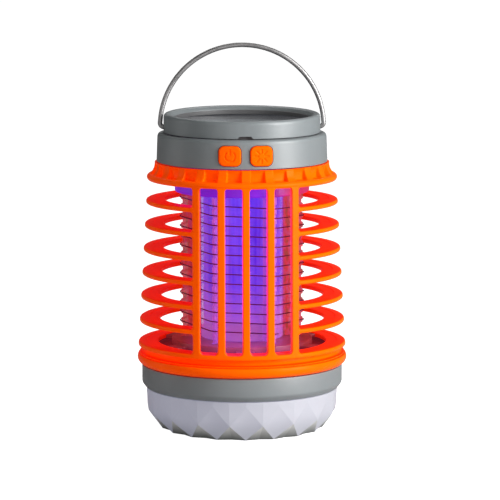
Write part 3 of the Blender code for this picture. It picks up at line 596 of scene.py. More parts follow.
def board_finish():
    """Green lacquer over a net of tracks."""
    finish = Finish("circuit_board", 0.45, Coat_Weight=0.3)
    tracks = finish.node("ShaderNodeTexVoronoi", feature="DISTANCE_TO_EDGE")
    tracks.inputs["Scale"].default_value = 320.0
    finish.feed(tracks.inputs["Vector"], finish.place)
    edge = finish.math("LESS_THAN", tracks.outputs["Distance"], 0.06)
    return finish.give(Base_Color=finish.mix(edge, (0.006, 0.07, 0.03), (0.02, 0.16, 0.06)))


def tray_finish():
    # Dark maroon, the tray's look in the cage's shade painted on as its colour, with a faint painted
    # glow of the same colour.
    colour = (0.22, 0.026, 0.042)
    finish = plastic("tray_plastic", colour, 0.5, bump=0.08)
    return finish.shine(finish.body, 0.22, colour)


looks = {
    "orange": orange_finish(),
    "grey": plastic("grey_plastic", shade_of(linear(128, 134, 136), 1.02), 0.44, grain=1500.0,
                    bump=0.30, Specular_IOR_Level=0.85).material,
    "milky": milky_finish(),
    "shade_foot_painted_shade": shade_foot_finish(),
    "tube": tube_finish(),
    "uv_board": diode_board_finish(),
    "diode": glowing("violet_diode", (0.45, 0.25, 1.0), 1.6),
    "roof": glow_painted_plastic("roof_painted_violet_glow", linear(100, 26, 210), linear(158, 34, 92), 0.6,
                        (8, 20), both_sides=False),
    "grid_floor": glow_painted_plastic("floor_painted_violet_glow", linear(150, 66, 122), linear(122, 38, 46), 0.42,
                              (9, 27)),
    "guide": glow_painted_plastic("light_guide", linear(184, 92, 210), linear(216, 96, 120), 0.85,
                         (9, 14), both_sides=False),
    "rib": rib_finish(),
    # Black plastic tinted violet: painted light of the tube.
    "socket": plastic("socket_plastic", (0.07, 0.012, 0.12), 0.4).material,
    "steel": metal("bright_steel", (0.40, 0.39, 0.39), 0.46, 90.0),
    # Steel wire tinted violet: painted reflection of the tube's light.
    "wire": metal("stainless_wire", (0.20, 0.03, 0.16), 0.35, 600.0),
    "brass": metal("contact_brass", (0.72, 0.50, 0.20), 0.25, 500.0),
    "solar": solar_finish(),
    "lining": plastic("solar_lining", linear(98, 98, 99), 0.5).material,
    "board": board_finish(),
    "led": glowing("led_resin", (0.85, 0.75, 0.35), 0.05),
    # Pale grid plastic given a maroon-purple: painted violet light of the tube.
    "lavender": plastic("grid_plastic", (0.22, 0.075, 0.16), 0.45, bump=0.08).material,
    "tray": tray_finish(),
    "black": plastic("black_plastic", (0.022, 0.022, 0.024), 0.45).material,
    "cell": plastic("cell_wrap", (0.02, 0.09, 0.36), 0.3).material,
    "rubber": plastic("grey_rubber", (0.12, 0.13, 0.135), 0.75, grain=700.0, bump=0.2).material,
}


# ---- base -----------------------------------------------------------------------------------
SHADE_FLUTES = 18
SHADE_R = 42.3
SHADE_SHOULDER_Z = 15.8
SHADE_WAIST_Z = 7.1
SHADE_WAIST_R = 40.6
SHADE_TIP_R = 36.0
SHADE_NOTCH_R = 34.2
SHADE_FLOOR_Z = 1.8
SHADE_STEPS = 8                     # parts that each edge of a facet is split into
SHADE_SWELL = 0.9                   # how far the middle of the belt bulges
PIN_X = 12.0


def triangle_patch(a, b, c, parts):
    """A triangle as a grid of smaller ones: its points and faces."""
    points = []
    index = {}
    for i in range(parts + 1):
        for j in range(parts + 1 - i):
            index[i, j] = len(points)
            points.append(a + (b - a) * (i / parts) + (c - a) * (j / parts))
    faces = []
    for i in range(parts):
        for j in range(parts - i):
            faces.append((index[i, j], index[i + 1, j], index[i, j + 1]))
            if i + j < parts - 1:
                faces.append((index[i + 1, j], index[i + 1, j + 1], index[i, j + 1]))
    return points, faces


def diamond_patch(top, right, bottom, left, parts):
    """A diamond as a grid of smaller ones: its points and faces."""
    shares = [k / parts for k in range(parts + 1)]
    rows = [[top * (1 - u) * (1 - t) + right * u * (1 - t) + left * t * (1 - u) + bottom * u * t
             for t in shares] for u in shares]
    return bridged(rows, closed=False)


def swollen(v):
    """A point of the belt pushed out, so that the belt bulges a little."""
    height = min(v.z, SHADE_SHOULDER_Z) / SHADE_SHOULDER_Z
    factor = 1 + SHADE_SWELL * max(0.0, sin(pi * height)) ** 1.5 / hypot(v.x, v.y)
    return Vector((v.x * factor, v.y * factor, v.z))


def split_ring(points):
    """A closed ring of points with each of its straight sides split."""
    return [a.lerp(b, k / SHADE_STEPS) for a, b in zip(points, points[1:] + points[:1])
            for k in range(SHADE_STEPS)]


def shade_walls(shoulder):
    """From the belt's straight-edged shoulder over the rim and down to the inner floor."""
    rows = [split_ring(shoulder)]
    steps = len(rows[0])
    for r, z in ((SHADE_R, 17.8), (40.6, 17.8), (40.6, 21.7), (39.0, 21.7),
                 (39.0, SHADE_SHOULDER_Z), (32.4, SHADE_FLOOR_Z), (0.0, SHADE_FLOOR_Z)):
        rows.append([on_circle(r, 360 * s / steps, z) for s in range(steps)])
    return bridged(rows)


def is_foot_facet(face):
    """True for the small facets between the tips of the diamonds."""
    centre = face.center / MM
    half_flute = 180 / SHADE_FLUTES
    turn = degrees(atan2(centre.x, -centre.y)) % (2 * half_flute)
    aside = abs(turn - half_flute) / half_flute
    under_waist = 0.02 < centre.z < SHADE_WAIST_Z * (1 - aside)
    return under_waist and hypot(centre.x, centre.y) > 33.0


def lamp_shade():
    def ring(r, z, offset, count=SHADE_FLUTES):
        return [on_circle(r, (i + offset) * 360 / count, z) for i in range(count)]

    shoulder = ring(SHADE_R, SHADE_SHOULDER_Z, 0, 2 * SHADE_FLUTES)
    waist = ring(SHADE_WAIST_R, SHADE_WAIST_Z, 0.5)
    tips, notches = ring(SHADE_TIP_R, 0.0, 0), ring(SHADE_NOTCH_R, 0.0, 0.5)
    verts, faces = [], []
    for i in range(SHADE_FLUTES):
        j = (i + 1) % SHADE_FLUTES
        ridge, valley, beyond = shoulder[2 * i], shoulder[2 * i + 1], shoulder[2 * j]
        for corners in ((ridge, valley, waist[i]), (valley, beyond, waist[i]),
                        (waist[i], notches[i], tips[i]), (waist[i], tips[j], notches[i])):
            add_patch(verts, faces, *triangle_patch(*corners, SHADE_STEPS))
        add_patch(verts, faces,
                  *diamond_patch(ridge, waist[i], tips[i], waist[i - 1], SHADE_STEPS))
    verts = [swollen(v) for v in verts]
    add_patch(verts, faces, *shade_walls(shoulder))
    foot = split_ring([p for pair in zip(tips, notches) for p in pair])
    add_patch(verts, faces, *bridged([foot, [Vector((0, 0, 0))] * len(foot)]))
    obj = add_mesh("shade", verts, faces, looks["milky"], 5.0)
    # The facets under the diamonds take the second material, with its painted floor shade.
    obj.data.materials.append(looks["shade_foot_painted_shade"])
    for face in obj.data.polygons:
        face.material_index = int(is_foot_facet(face))
    place(obj, "base", "milky_shade", "lamp_shade")


def base_ring():
    outline = softened([
        (44.3, 28.3, 0.3), (44.3, 20.3, 0.7), (42.6, 18.1, 0.3), (40.9, 18.1, 0.1), (40.9, 23.9),
        (37.0, 23.9), (37.0, 25.9), (41.2, 25.9), (41.2, 28.3, 0.1),
    ])
    obj = turned("grey_base_ring", outline, looks["grey"])
    place(obj, "base", "grey_plastic", "base_ring")


def base_rim():
    """Concave neck, a fine step and a fat bead."""
    neck = arc((45.35, 36.3), 2.35, 180, 262, 12)
    step = [(45.26, 33.90), (45.38, 33.78), (45.38, 33.62), (45.24, 33.54), (44.96, 33.48),
            (44.9, 33.36), (44.96, 33.24), (45.3, 33.22), (45.6, 33.18)]
    bead = arc((43.4, 31.5), 2.9, 33, -82, 20)
    outline = neck + step + bead + [(39.6, 28.62), (39.6, 32.3), (41.2, 32.3), (41.2, 36.3)]
    obj = turned("orange_rim", outline, looks["orange"], steps=256, sharp=40)
    place(obj, "base", "orange_plastic", "base_rim")


def bug_tray():
    outline = softened([
        (40.9, 36.0, 0.4), (40.9, 32.6, 0.4), (6.0, 32.6, 0.2), (6.0, 34.2, 0.4), (39.3, 34.2, 0.9),
        (39.3, 36.0, 0.4),
    ])
    obj = turned("drop_tray", outline, looks["tray"], steps=128)
    cut_out(obj, [round_cutter(1.8, 3, (x, 0, 33.4), 90, "X") for x in (-PIN_X, PIN_X)])
    place(obj, "base", "grid_plastic", "bug_tray")


def lamp_parts():
    outline = softened([(40.4, 23.6, 0.15), (40.4, 22.0, 0.15), (2.0, 22.0, 0.1), (2.0, 23.6, 0.1)])
    place(turned("lamp_circuit", outline, looks["board"], steps=96), "base", "circuit_board",
          "lamp_board")
    for i in range(6):
        angle = 60 * (i + 0.5)
        chip = block(f"lamp_chip_{i + 1}", (0, 0, 0), (3.5, 2.8, 1.15), looks["led"], 0.25)
        moved(chip, on_circle(24.0, angle, 21.1), angle)
        place(chip, "base", "led_resin", f"lamp_led_{i + 1}")
    for side, x in (("left", -PIN_X), ("right", PIN_X)):
        pin = swept(f"sprung_pin_{side}", [(x, 0, z) for z in (25.2, 30.0, 35.5)], 1.15,
                    looks["brass"], sides=20)
        place(pin, "base", "contact_brass", f"contact_pin_{side}")


# ---- cage -----------------------------------------------------------------------------------
FIN_TOP_BORE_R = 33.9
FIN_SKIN = 1.0                      # depth under the skin at which a fin's flat part starts
FIN_BORE_GROWTH = 0.5
FOOT_RING_BORE_R = 37.1
BAR_PITCH = 10.75
BAR_WIDTH = 3.0
BAR_DEPTH = 4.0
ARC_R = 43.5                        # radius at which widths round the cage are measured
HALF_TURN = pi * ARC_R
LEAN = 0.25                         # how far the bars' sides turn towards the axis
EDGE = 0.5
FIN_EDGE = 0.75
INNER_EDGE = 0.25
DRAFT = 0.2                         # by which a window narrows from the skin inwards
SHELL_COLUMNS = 200

Window = namedtuple("Window", "s z half_w half_h corners counts edge")


def cage_points(outline, depth):
    """Maps (distance round the cage, height) at a depth under its skin to points."""
    s, z = np.array(outline, float).T
    angle = s / ARC_R
    local = np.arcsin(np.sin(angle))
    skin = cage_radius(z)
    r = skin - depth
    across = ARC_R * np.sin(local) * (1 - LEAN * depth / skin)
    upright = np.arcsin(np.clip(across / r, -1, 1))
    square = eased((radians(50) - np.abs(local)) / radians(16))
    turn = square * upright + (1 - square) * local
    side = np.where(np.cos(angle) >= 0, -1.0, 1.0)
    return list(np.stack([r * np.sin(turn), side * r * np.cos(turn), z], axis=1))


def window_outline(window, grow):
    """A window's (distance round, height), the same number of points at any growth."""
    return rounded_outline(window.half_w + grow, window.half_h + grow,
                           [r + grow for r in window.corners], 6, window.counts,
                           (window.s, window.z))


def cage_windows():
    """Four tall windows at the front and the back, and the gaps between the fins."""
    windows = []
    top, bottom = CROWN_BOTTOM_Z + 0.3, CAGE_BOTTOM_Z + FIN_T
    for k in range(4):
        left = (k - 2) * BAR_PITCH + BAR_WIDTH / 2
        right = (k - 1) * BAR_PITCH - BAR_WIDTH / 2
        s0, s1 = (ARC_R * asin(x / ARC_R) for x in (left, right))
        middle = (s0 + s1) / 2
        behind = middle - HALF_TURN if middle > 0 else middle + HALF_TURN
        for s in (middle, behind):
            windows.append(Window(s, (top + bottom) / 2, (s1 - s0) / 2, (top - bottom) / 2,
                                  (1.7, 1.5), (4, 24), EDGE))
    half = HALF_TURN / 2 - ARC_R * asin((2 * BAR_PITCH + BAR_WIDTH / 2) / ARC_R)
    for level in range(FIN_LEVELS + 1):
        floor = FIN_TOP_Z - level * FIN_PITCH + FIN_T / 2
        roof = CROWN_BOTTOM_Z if level == 0 else floor + FIN_PITCH - FIN_T
        for s in (-HALF_TURN / 2, HALF_TURN / 2):
            windows.append(Window(s, (floor + roof) / 2, half, (roof - floor) / 2,
                                  (1.1, 1.1), (44, 3), FIN_EDGE))
    return windows


def round_line():
    """Distances round the cage, from its back to its back."""
    return [HALF_TURN * (2 * i / SHELL_COLUMNS - 1) for i in range(SHELL_COLUMNS + 1)]


def skin_triangles(outlines, floor, roof):
    """Points and triangles of the unrolled skin round the windows."""
    rungs = 16
    line = round_line()
    levels = [floor + (roof - floor) * i / rungs for i in range(rungs + 1)]
    border = [(s, floor) for s in line] + [(line[-1], z) for z in levels[1:]]
    border += [(s, roof) for s in line[-2::-1]] + [(line[0], z) for z in levels[-2:0:-1]]
    points, edges, rings = [], [], []
    for outline in (*outlines, border):
        ring = list(range(len(points), len(points) + len(outline)))
        edges += zip(ring, ring[1:] + ring[:1])
        rings.append(ring)
        points += outline
    made = delaunay_2d_cdt([Vector(p) for p in points], edges, rings[:-1], 0, 1e-6)
    triangles, sources, windows = made[2], made[3], made[5]
    return points, [tuple(sources[i][0] for i in triangle)
                    for triangle, window in zip(triangles, windows) if not window]


def cage_shell():
    """The pierced skin of the cage, as deep as a bar, every window edge rounded over."""
    windows = cage_windows()
    floor, roof = CAGE_BOTTOM_Z, CROWN_BOTTOM_Z + 1.5
    inner_grow = INNER_EDGE - DRAFT
    verts, faces = [], []
    for outlines, depth, low_z in (
            ([window_outline(w, w.edge) for w in windows], 0.0, floor + EDGE),
            ([window_outline(w, inner_grow) for w in windows], BAR_DEPTH, floor)):
        points, triangles = skin_triangles(outlines, low_z, roof)
        add_patch(verts, faces, cage_points(points, depth), triangles)
    bends = [radians(90 * k / 4) for k in range(5)]
    for window in windows:
        rows = [(window.edge * (1 - sin(a)), window.edge * (1 - cos(a))) for a in bends]
        rows += [(-DRAFT * (BAR_DEPTH - INNER_EDGE) / BAR_DEPTH, BAR_DEPTH - INNER_EDGE),
                 (INNER_EDGE * 0.3 - DRAFT, BAR_DEPTH - INNER_EDGE * 0.3),
                 (inner_grow, BAR_DEPTH)]
        rings = [cage_points(window_outline(window, grow), depth) for grow, depth in rows]
        add_patch(verts, faces, *bridged(rings))
    lower_edge = [(floor + EDGE * (1 - sin(a)), EDGE * (1 - cos(a))) for a in bends]
    for rows in ([*lower_edge, (floor, BAR_DEPTH)], [(roof, 0.0), (roof, BAR_DEPTH)]):
        lines = [cage_points([(s, z) for s in round_line()], depth) for z, depth in rows]
        add_patch(verts, faces, *bridged(lines, closed=False))
    return add_mesh("cage_shell", verts, faces, looks["orange"], 38)


def ring_outline(outer, bore, z):
    """Cross-section of a fin's flat inner part, a hair thinner than its rim."""
    half = FIN_T / 2 - 0.03
    return softened([(outer, z + half), (outer, z - half), (bore, z - half, 0.55),
                     (bore, z + half, 0.55)])


def fin_disc(name, level, side):
    """The flat inner part of a fin; its ends are cut off square behind the grille."""
    outline = ring_outline(FIN_TOP_R + level * FIN_GROWTH - FIN_SKIN,
                           FIN_TOP_BORE_R + level * FIN_BORE_GROWTH,
                           FIN_TOP_Z - level * FIN_PITCH)
    end = 2 * BAR_PITCH + BAR_WIDTH / 2 - 0.6
    steps = 72
    rings = []
    for s in range(steps + 1):
        turns = [asin(end / r) + (pi - 2 * asin(end / r)) * s / steps for r, h in outline]
        rings.append([(side * r * sin(a), -r * cos(a), h) for a, (r, h) in zip(turns, outline)])
    return loft(name, rings, looks["orange"], 38)


def foot_disc():
    z = CAGE_BOTTOM_Z + FIN_T / 2
    outline = ring_outline(cage_radius(z) - FIN_SKIN, FOOT_RING_BORE_R, z)
    return turned("foot_disc", outline, looks["orange"], steps=200)


def crown():
    """Flared flange; its pockets are the places where the flare is left out between ribs."""
    ribs, half_pocket, soft = 24, 4.55, 0.4
    neck, ledge, hollow = 38.4, 112.9, 1.0
    flare = arc((neck + 3.8, CROWN_TOP_Z - 0.4), (3.8, 5.2), 180, 254, 14)
    rib = resampled([(neck, CROWN_TOP_Z), *flare], 18)
    wall = softened([(neck, CROWN_TOP_Z), (neck - hollow, CROWN_TOP_Z - 1.6, 0.8),
                     (neck - hollow, ledge, 0.9), (flare[-1][0], ledge - 0.1),
                     (neck, CROWN_TOP_Z)])[:-1]
    pocket = resampled([*wall, flare[-1]], 18)
    lip = arc((40.6, 111.4), 1.3, 50, -85, 8)
    rest = lip + softened([(30.2, 110.1, 0.3), (30.2, 111.5, 0.3), (36.0, 111.5, 0.3),
                           (36.0, CROWN_TOP_Z, 0.2)])
    offsets = [-7.5, -6.7, -5.9, -5.3, -4.95, -4.75, -4.55, -4.35, -4.15, -3.0, -1.5, 0.0]
    offsets += [-o for o in reversed(offsets[1:-1])]
    rings = []
    for k in range(ribs):
        for offset in offsets:
            share = eased((half_pocket + soft - abs(offset)) / (2 * soft))
            outline = [*(rib * (1 - share) + pocket * share), *rest]
            turn = (k + 0.5) * 360 / ribs + offset
            rings.append([on_circle(r, turn, z) for r, z in outline])
    return add_mesh("crown", *bridged(rings, looped=True), looks["orange"], 48)


def cage():
    parts = [cage_shell(), foot_disc(), crown()]
    nodes = ["cage_crown", "cage_foot_ring", "cage_front_grille", "cage_back_grille"]
    for label, side in (("left", -1), ("right", 1)):
        for level in range(FIN_LEVELS):
            parts.append(fin_disc(f"fin_{label}_{level + 1}", level, side))
            nodes.append(f"cage_fin_{label}_{level + 1}")
    obj = merged("orange_cage", parts)
    even_normals(obj)
    place(obj, "lantern", "orange_plastic", *nodes)


# ---- grid and light -------------------------------------------------------------------------
RIB_INNER_R = 18.0
RIB_OUTER_R = 27.0
RIB_LOW_Z = 40.4
RIB_HIGH_Z = 104.6
RIB_T = 1.6
RIB_EDGE = 0.25
WIRE_RING_R = 27.3
WIRE_PITCH = 4.23
WIRE_TOP_Z = 102.5
WIRE_START = -90.0


def grid_plates():
    outline = softened([(31.0, 40.0, 0.6), (31.0, 37.0, 0.6), (4.0, 37.0, 0.3), (4.0, 40.0, 0.3)])
    parts = [turned("grid_floor", outline, looks["grid_floor"], steps=128)]
    for i in range(6):
        tab = block(f"tab_{i}", (0, -32.3, 37.75), (8.0, 8.2, 1.35), looks["grid_floor"], 0.3)
        parts.append(moved(tab, (0, 0, 0), 60 * i))
    obj = merged("grid_floor_plate", parts)
    even_normals(obj)
    place(obj, "lantern", "grid_plastic", "grid_base")
    ceiling = softened([(29.6, 111.4, 0.3), (29.6, 105.0, 0.8), (6.0, 105.0, 0.3), (6.0, 106.8, 0.3),
                        (27.8, 106.8, 0.5), (27.8, 111.4, 0.3)])
    place(turned("grid_roof_plate", ceiling, looks["roof"], steps=128), "lantern", "grid_plastic",
          "grid_ceiling")


def rib_outline():
    """Upright edge of a rib, with a tooth between neighbouring turns of the wires."""
    outline = [(RIB_INNER_R, RIB_LOW_Z), (RIB_OUTER_R, RIB_LOW_Z)]
    z = WIRE_TOP_Z - WIRE_PITCH * 14.5
    while z < RIB_HIGH_Z - 2:
        outline += [(RIB_OUTER_R - 0.1, z - 1.1), (RIB_OUTER_R - 0.8, z - 0.7),
                    (RIB_OUTER_R - 0.8, z + 0.7), (RIB_OUTER_R - 0.1, z + 1.1)]
        z += WIRE_PITCH
    return outline + [(RIB_OUTER_R, RIB_HIGH_Z), (RIB_INNER_R, RIB_HIGH_Z)]


def grid_posts():
    """Radial ribs between the tube and the wires."""
    half = RIB_T / 2
    layers = ((-half, RIB_EDGE), (RIB_EDGE - half, 0.0), (half - RIB_EDGE, 0.0), (half, RIB_EDGE))
    for i in range(6):
        turn = 60 * (i + 0.5)
        along, across = on_circle(1, turn, 0), on_circle(1, turn + 90, 0)
        rings = []
        for offset, shrink in layers:
            rings.append([])
            for r, h in rib_outline():
                r = r - shrink if r > RIB_INNER_R + 1 else RIB_INNER_R + shrink
                h = min(max(h, RIB_LOW_Z + shrink), RIB_HIGH_Z - shrink)
                rings[-1].append(along * r + across * offset + Vector((0, 0, h)))
        rib = loft(f"grid_rib_{i + 1}", rings, looks["rib"], 40)
        place(rib, "lantern", "grid_plastic", f"grid_post_{i + 1}")


def grid_wires():
    """Two bare wires wound side by side, straight from rib to rib."""
    fall = 2 * WIRE_PITCH / 360
    half_bend = 3.2
    for name, node, start_z, spans in (
            ("bare_wire_first", "grid_wire_positive", WIRE_TOP_Z, 42),
            ("bare_wire_second", "grid_wire_negative", WIRE_TOP_Z - WIRE_PITCH, 39)):
        path = []
        for k in range(spans):
            for offset in (-half_bend, -half_bend / 2, 0.0, half_bend / 2, half_bend):
                r = WIRE_RING_R - 0.14 * (offset / half_bend) ** 2
                path.append(on_circle(r, WIRE_START + 60 * k + offset,
                                      start_z - fall * (60 * k + offset)))
        wire = swept(name, path, 0.26, looks["wire"], sides=8)
        place(wire, "lantern", "stainless_wire", node)


def light_tube():
    outline = softened([(18.0, 104.6, 0.3), (18.0, 40.4, 0.3), (17.0, 40.4, 0.2), (17.0, 104.6, 0.2)])
    place(turned("violet_light_tube", outline, looks["tube"], steps=128), "lantern", "violet_tube",
          "light_tube")
    lowest, highest = low("uv_led_board"), high("uv_led_board")
    middle, height = (lowest.z + highest.z) / 2, highest.z - lowest.z
    parts = [block("light_guide", (0, 0, middle), (33.2, 0.8, height - 0.3), looks["guide"], 0.15),
             block("diode_strip", (1.5, 0, middle), (12.5, 1.6, height - 0.1), looks["uv_board"],
                   0.2)]
    for face in (-1, 1):
        for i in range(4):
            parts.append(block(f"chip_{face}_{i}", (1.5, face * 1.2, lowest.z + height * (i + 0.5) / 4),
                               (3.4, 0.9, 3.4), looks["diode"], 0.3))
    obj = merged("diode_strip_board", parts)
    even_normals(obj)
    place(obj, "lantern", "circuit_board", "uv_led_board")
    fitted("diode_strip_socket", "uv_board_socket", looks["socket"], "black_plastic", 0.5)


# ---- top housing ----------------------------------------------------------------------------
KEY_X = 6.8
KEY_Z = 124.05
KEY_HALF = (4.8, 4.3)
KEY_CORNER = 2.5
KEY_FACE_R = 38.4
KEY_EDGE = 0.7
KEY_BACK_Y = -35.2
KEY_GAP = 0.28
PORT_CORNER = 1.5
PIVOT_Z = 133.2


def top_housing():
    outline = softened([
        (37.15, 130.8, 1.9), (37.6, 118.3, 0.25), (35.4, 118.3, 0.2), (35.2, 129.6), (34.0, 129.6),
        (34.0, 130.8),
    ], steps=8)
    obj = turned("grey_housing", outline, looks["grey"], steps=256)
    hole = rounded_outline(*(half + KEY_GAP for half in KEY_HALF), [KEY_CORNER + KEY_GAP] * 2, 8)
    cutters = [slab("key_hole", hole, -42, -30, (x, 0, KEY_Z)) for x in (-KEY_X, KEY_X)]
    port = rounded_outline(4.8, 2.1, [PORT_CORNER] * 2, 8)
    cut_out(obj, [*cutters, slab("port_hole", port, 30, 42, (0, 0, 122.2))])
    even_normals(obj)
    place(obj, "lantern", "grey_plastic", "top_housing")


def power_mark(x, z):
    """Distance from the power symbol: an open ring and an upright stroke."""
    gap = np.abs(np.degrees(np.arctan2(x, z))) < 38
    ring = np.where(gap, 9.0, np.abs(np.hypot(x, z) - 2.15))
    stroke = np.hypot(x, np.maximum(np.abs(z - 1.75) - 1.05, 0))
    return np.minimum(ring, stroke)


def light_mark(x, z):
    """Distance from eight short rays."""
    r = np.hypot(x, z)
    a = np.degrees(np.arctan2(z, x))
    near = np.abs((a + 22.5) % 45 - 22.5)
    across = r * np.sin(np.radians(near))
    along = np.maximum(np.abs(r - 2.25) - 0.75, 0)
    return np.hypot(across, along)


def key(name, x0, mark, body, node):
    """A push key with rounded edges and a sunken mark on its curved face."""
    half_w, half_h = KEY_HALF
    bends = [radians(90 * k / 6) for k in range(1, 7)]
    rows = [(scale, KEY_EDGE, 0.0) for scale in np.linspace(0.015, 1.0, 52)]
    rows += [(1.0, KEY_EDGE * (1 - sin(a)), KEY_EDGE * (1 - cos(a))) for a in bends]
    rows.append((1.0, 0.0, None))
    rings = []
    for scale, shrink, sink in rows:
        outline = rounded_outline((half_w - shrink) * scale, (half_h - shrink) * scale,
                                  [(KEY_CORNER - shrink) * scale] * 2, 10, (22, 22))
        x, z = np.array(outline).T
        if sink is None:
            y = np.full_like(x, KEY_BACK_Y)
        else:
            engraving = 0.30 * eased((0.46 - mark(x, z)) / 0.22)
            y = sink + engraving - np.sqrt(KEY_FACE_R ** 2 - (x + x0) ** 2)
        rings.append(list(np.stack([x0 + x, y, KEY_Z + z], axis=1)))
    place(loft(name, rings, looks["orange"], 40), body, "orange_plastic", node)


def keys():
    key("power_push_key", -KEY_X, power_mark, "power_key", "power_key")
    key("light_push_key", KEY_X, light_mark, "light_key", "light_key")
    for side, x in (("power", -KEY_X), ("light", KEY_X)):
        lowest, highest = low(f"{side}_plunger"), high(f"{side}_plunger")
        length = highest.y - lowest.y
        outline = softened([(0.1, 0.0), (1.6, 0.0, 0.3), (1.6, length, 0.3), (0.1, length)])
        rod = turned(f"{side}_push_rod", outline, looks["lavender"], steps=48)
        moved(rod, (x, lowest.y, KEY_Z), -90, "X")
        place(rod, f"{side}_key", "grid_plastic", f"{side}_plunger")


def slope_top(obj):
    """Leans the bezel's top a little towards the front."""
    for v in obj.data.vertices:
        share = min(max((v.co.z / MM - 135.0) / 3.0, 0.0), 1.0)
        v.co.z += 0.018 * v.co.y * share


def pivot_holes():
    """Cutters for the two holes that the handle's ends turn in."""
    return [round_cutter(1.35, 4, (x, 0, PIVOT_Z), 90, "Z") for x in (-34.5, 34.5)]


def bezel():
    outline = softened([
        (34.45, 139.2, 2.0), (34.45, 131.1, 0.25), (32.6, 131.1, 0.1), (32.6, 136.3),
        (30.0, 136.3, 0.1), (30.0, 137.6, 0.3), (31.5, 139.2, 1.3),
    ], steps=8)
    obj = turned("grey_bezel", outline, looks["grey"], steps=256)
    notch = [(-3.35, -1.0), (3.35, -1.0), (3.35, 0.0), (2.55, 1.1), (-2.55, 1.1), (-3.35, 0.0)]
    cut_out(obj, [slab("notch", notch, -38, -32.0, (0, 0, 131.1)), *pivot_holes()])
    slope_top(obj)
    even_normals(obj)
    place(obj, "lantern", "grey_plastic", "bezel")


def solar_panel():
    """Panel disc, the dark lining of its rim and the gasket that closes the gap under it."""
    window = softened([(32.2, 136.0, 0.3), (32.2, 134.6, 0.2), (0.02, 134.6), (0.02, 136.0)])
    disc = turned("solar_disc", window, looks["solar"], steps=160)
    rim = softened([(29.92, 137.5, 0.2), (29.92, 135.9), (29.3, 135.9, 0.1), (29.3, 137.5, 0.2)])
    lining = turned("solar_lining", rim, looks["lining"], steps=200)
    slope_top(lining)
    skirt = softened([(32.3, 134.7), (32.3, 130.0, 0.1), (31.7, 130.0, 0.1), (31.7, 134.7)])
    gasket = turned("solar_gasket", skirt, looks["lining"], steps=120)
    cut_out(gasket, pivot_holes())
    place(merged("solar_window", [disc, lining, gasket]), "lantern", "solar_glass", "solar_panel")


def bail():
    """Half-round wire handle with two in-turned ends."""
    arch_r, bend = 36.0, 1.9
    corner = arc((bend - arch_r, PIVOT_Z + bend), bend, 270, 180, 8)
    arch = arc((0, PIVOT_Z), arch_r, 180 - degrees(asin(bend / arch_r)), 90, 55)[1:]
    half = [(-31.5, PIVOT_Z), (-33.2, PIVOT_Z), *corner, *arch]
    whole = half + [(-x, z) for x, z in reversed(half[:-1])]
    obj = swept("wire_handle", [(x, 0, z) for x, z in whole], 1.05, looks["steel"], sides=24)
    place(obj, "bail", "bright_steel", "bail")


def battery():
    lowest, highest = low("battery_cell"), high("battery_cell")
    r, half = (highest.z - lowest.z) / 2, (highest.x - lowest.x) / 2
    outline = softened([(0.1, -half), (r - 1.0, -half, 0.2), (r - 1.0, -half + 0.3),
                        (r, -half + 0.3, 0.6), (r, half - 1.6, 0.6), (r - 1.6, half - 1.6, 0.3),
                        (r - 1.6, half - 1.0), (3.0, half - 1.0, 0.3), (3.0, half, 0.4), (0.1, half)])
    cell = turned("lithium_cell", outline, looks["cell"], steps=64)
    moved(cell, (0, 0, (lowest.z + highest.z) / 2), 90, "Y")
    place(cell, "lantern", "cell_wrap", "battery_cell")


def capacitor():
    lowest, highest = low("storage_capacitor"), high("storage_capacitor")
    r = (highest.x - lowest.x) / 2
    centre = (lowest + highest) / 2
    outline = softened([(0.1, lowest.z), (r, lowest.z, 0.3), (r, lowest.z + 1.2),
                        (r - 0.4, lowest.z + 1.5), (r, lowest.z + 1.8), (r, highest.z, 0.5),
                        (0.1, highest.z - 0.2)])
    can = turned("can_capacitor", outline, looks["cell"], steps=48)
    moved(can, (centre.x, centre.y, 0))
    place(can, "lantern", "cell_wrap", "storage_capacitor")


def electronics():
    battery()
    fitted("main_circuit", "control_board", looks["board"], "circuit_board", 0.3)
    fitted("wound_transformer", "step_up_transformer", looks["black"], "black_plastic", 0.8)
    fitted("key_circuit", "switch_board", looks["board"], "circuit_board", 0.3)
    capacitor()
    for node, finish in (("power_switch", "black"), ("light_switch", "black"),
                         ("usb_socket", "steel")):
        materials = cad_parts[node].data.materials
        materials.clear()
        materials.append(looks[finish])


def port_cover():
    """Rubber flap with a shallow hollow in its inner side."""
    lowest, highest = low("port_cover"), high("port_cover")
    half, middle = (highest - lowest) / 2, (highest + lowest) / 2
    edge, hollow = 0.35, 0.2
    near, far = lowest.y, highest.y
    rows = [(0.05, 0.0, near), (1.0, edge, near), (1.0, edge * 0.3, near + edge * 0.3),
            (1.0, 0.0, near + edge), (1.0, 0.0, far - edge), (1.0, edge * 0.3, far - edge * 0.3),
            (1.0, edge, far), (0.75, 0.0, far), (0.72, 0.0, far - hollow), (0.05, 0.0, far - hollow)]
    rings = []
    for scale, shrink, y in rows:
        outline = rounded_outline((half.x - shrink) * scale, (half.z - shrink) * scale,
                                  [(PORT_CORNER - shrink) * scale] * 2)
        rings.append([(x, y, middle.z + z) for x, z in outline])
    obj = loft("rubber_flap", rings, looks["rubber"], 35)
    place(obj, "port_cover", "grey_rubber", "port_cover")


# ---- studio ---------------------------------------------------------------------------------
AIM = (0, 0, 0.08)


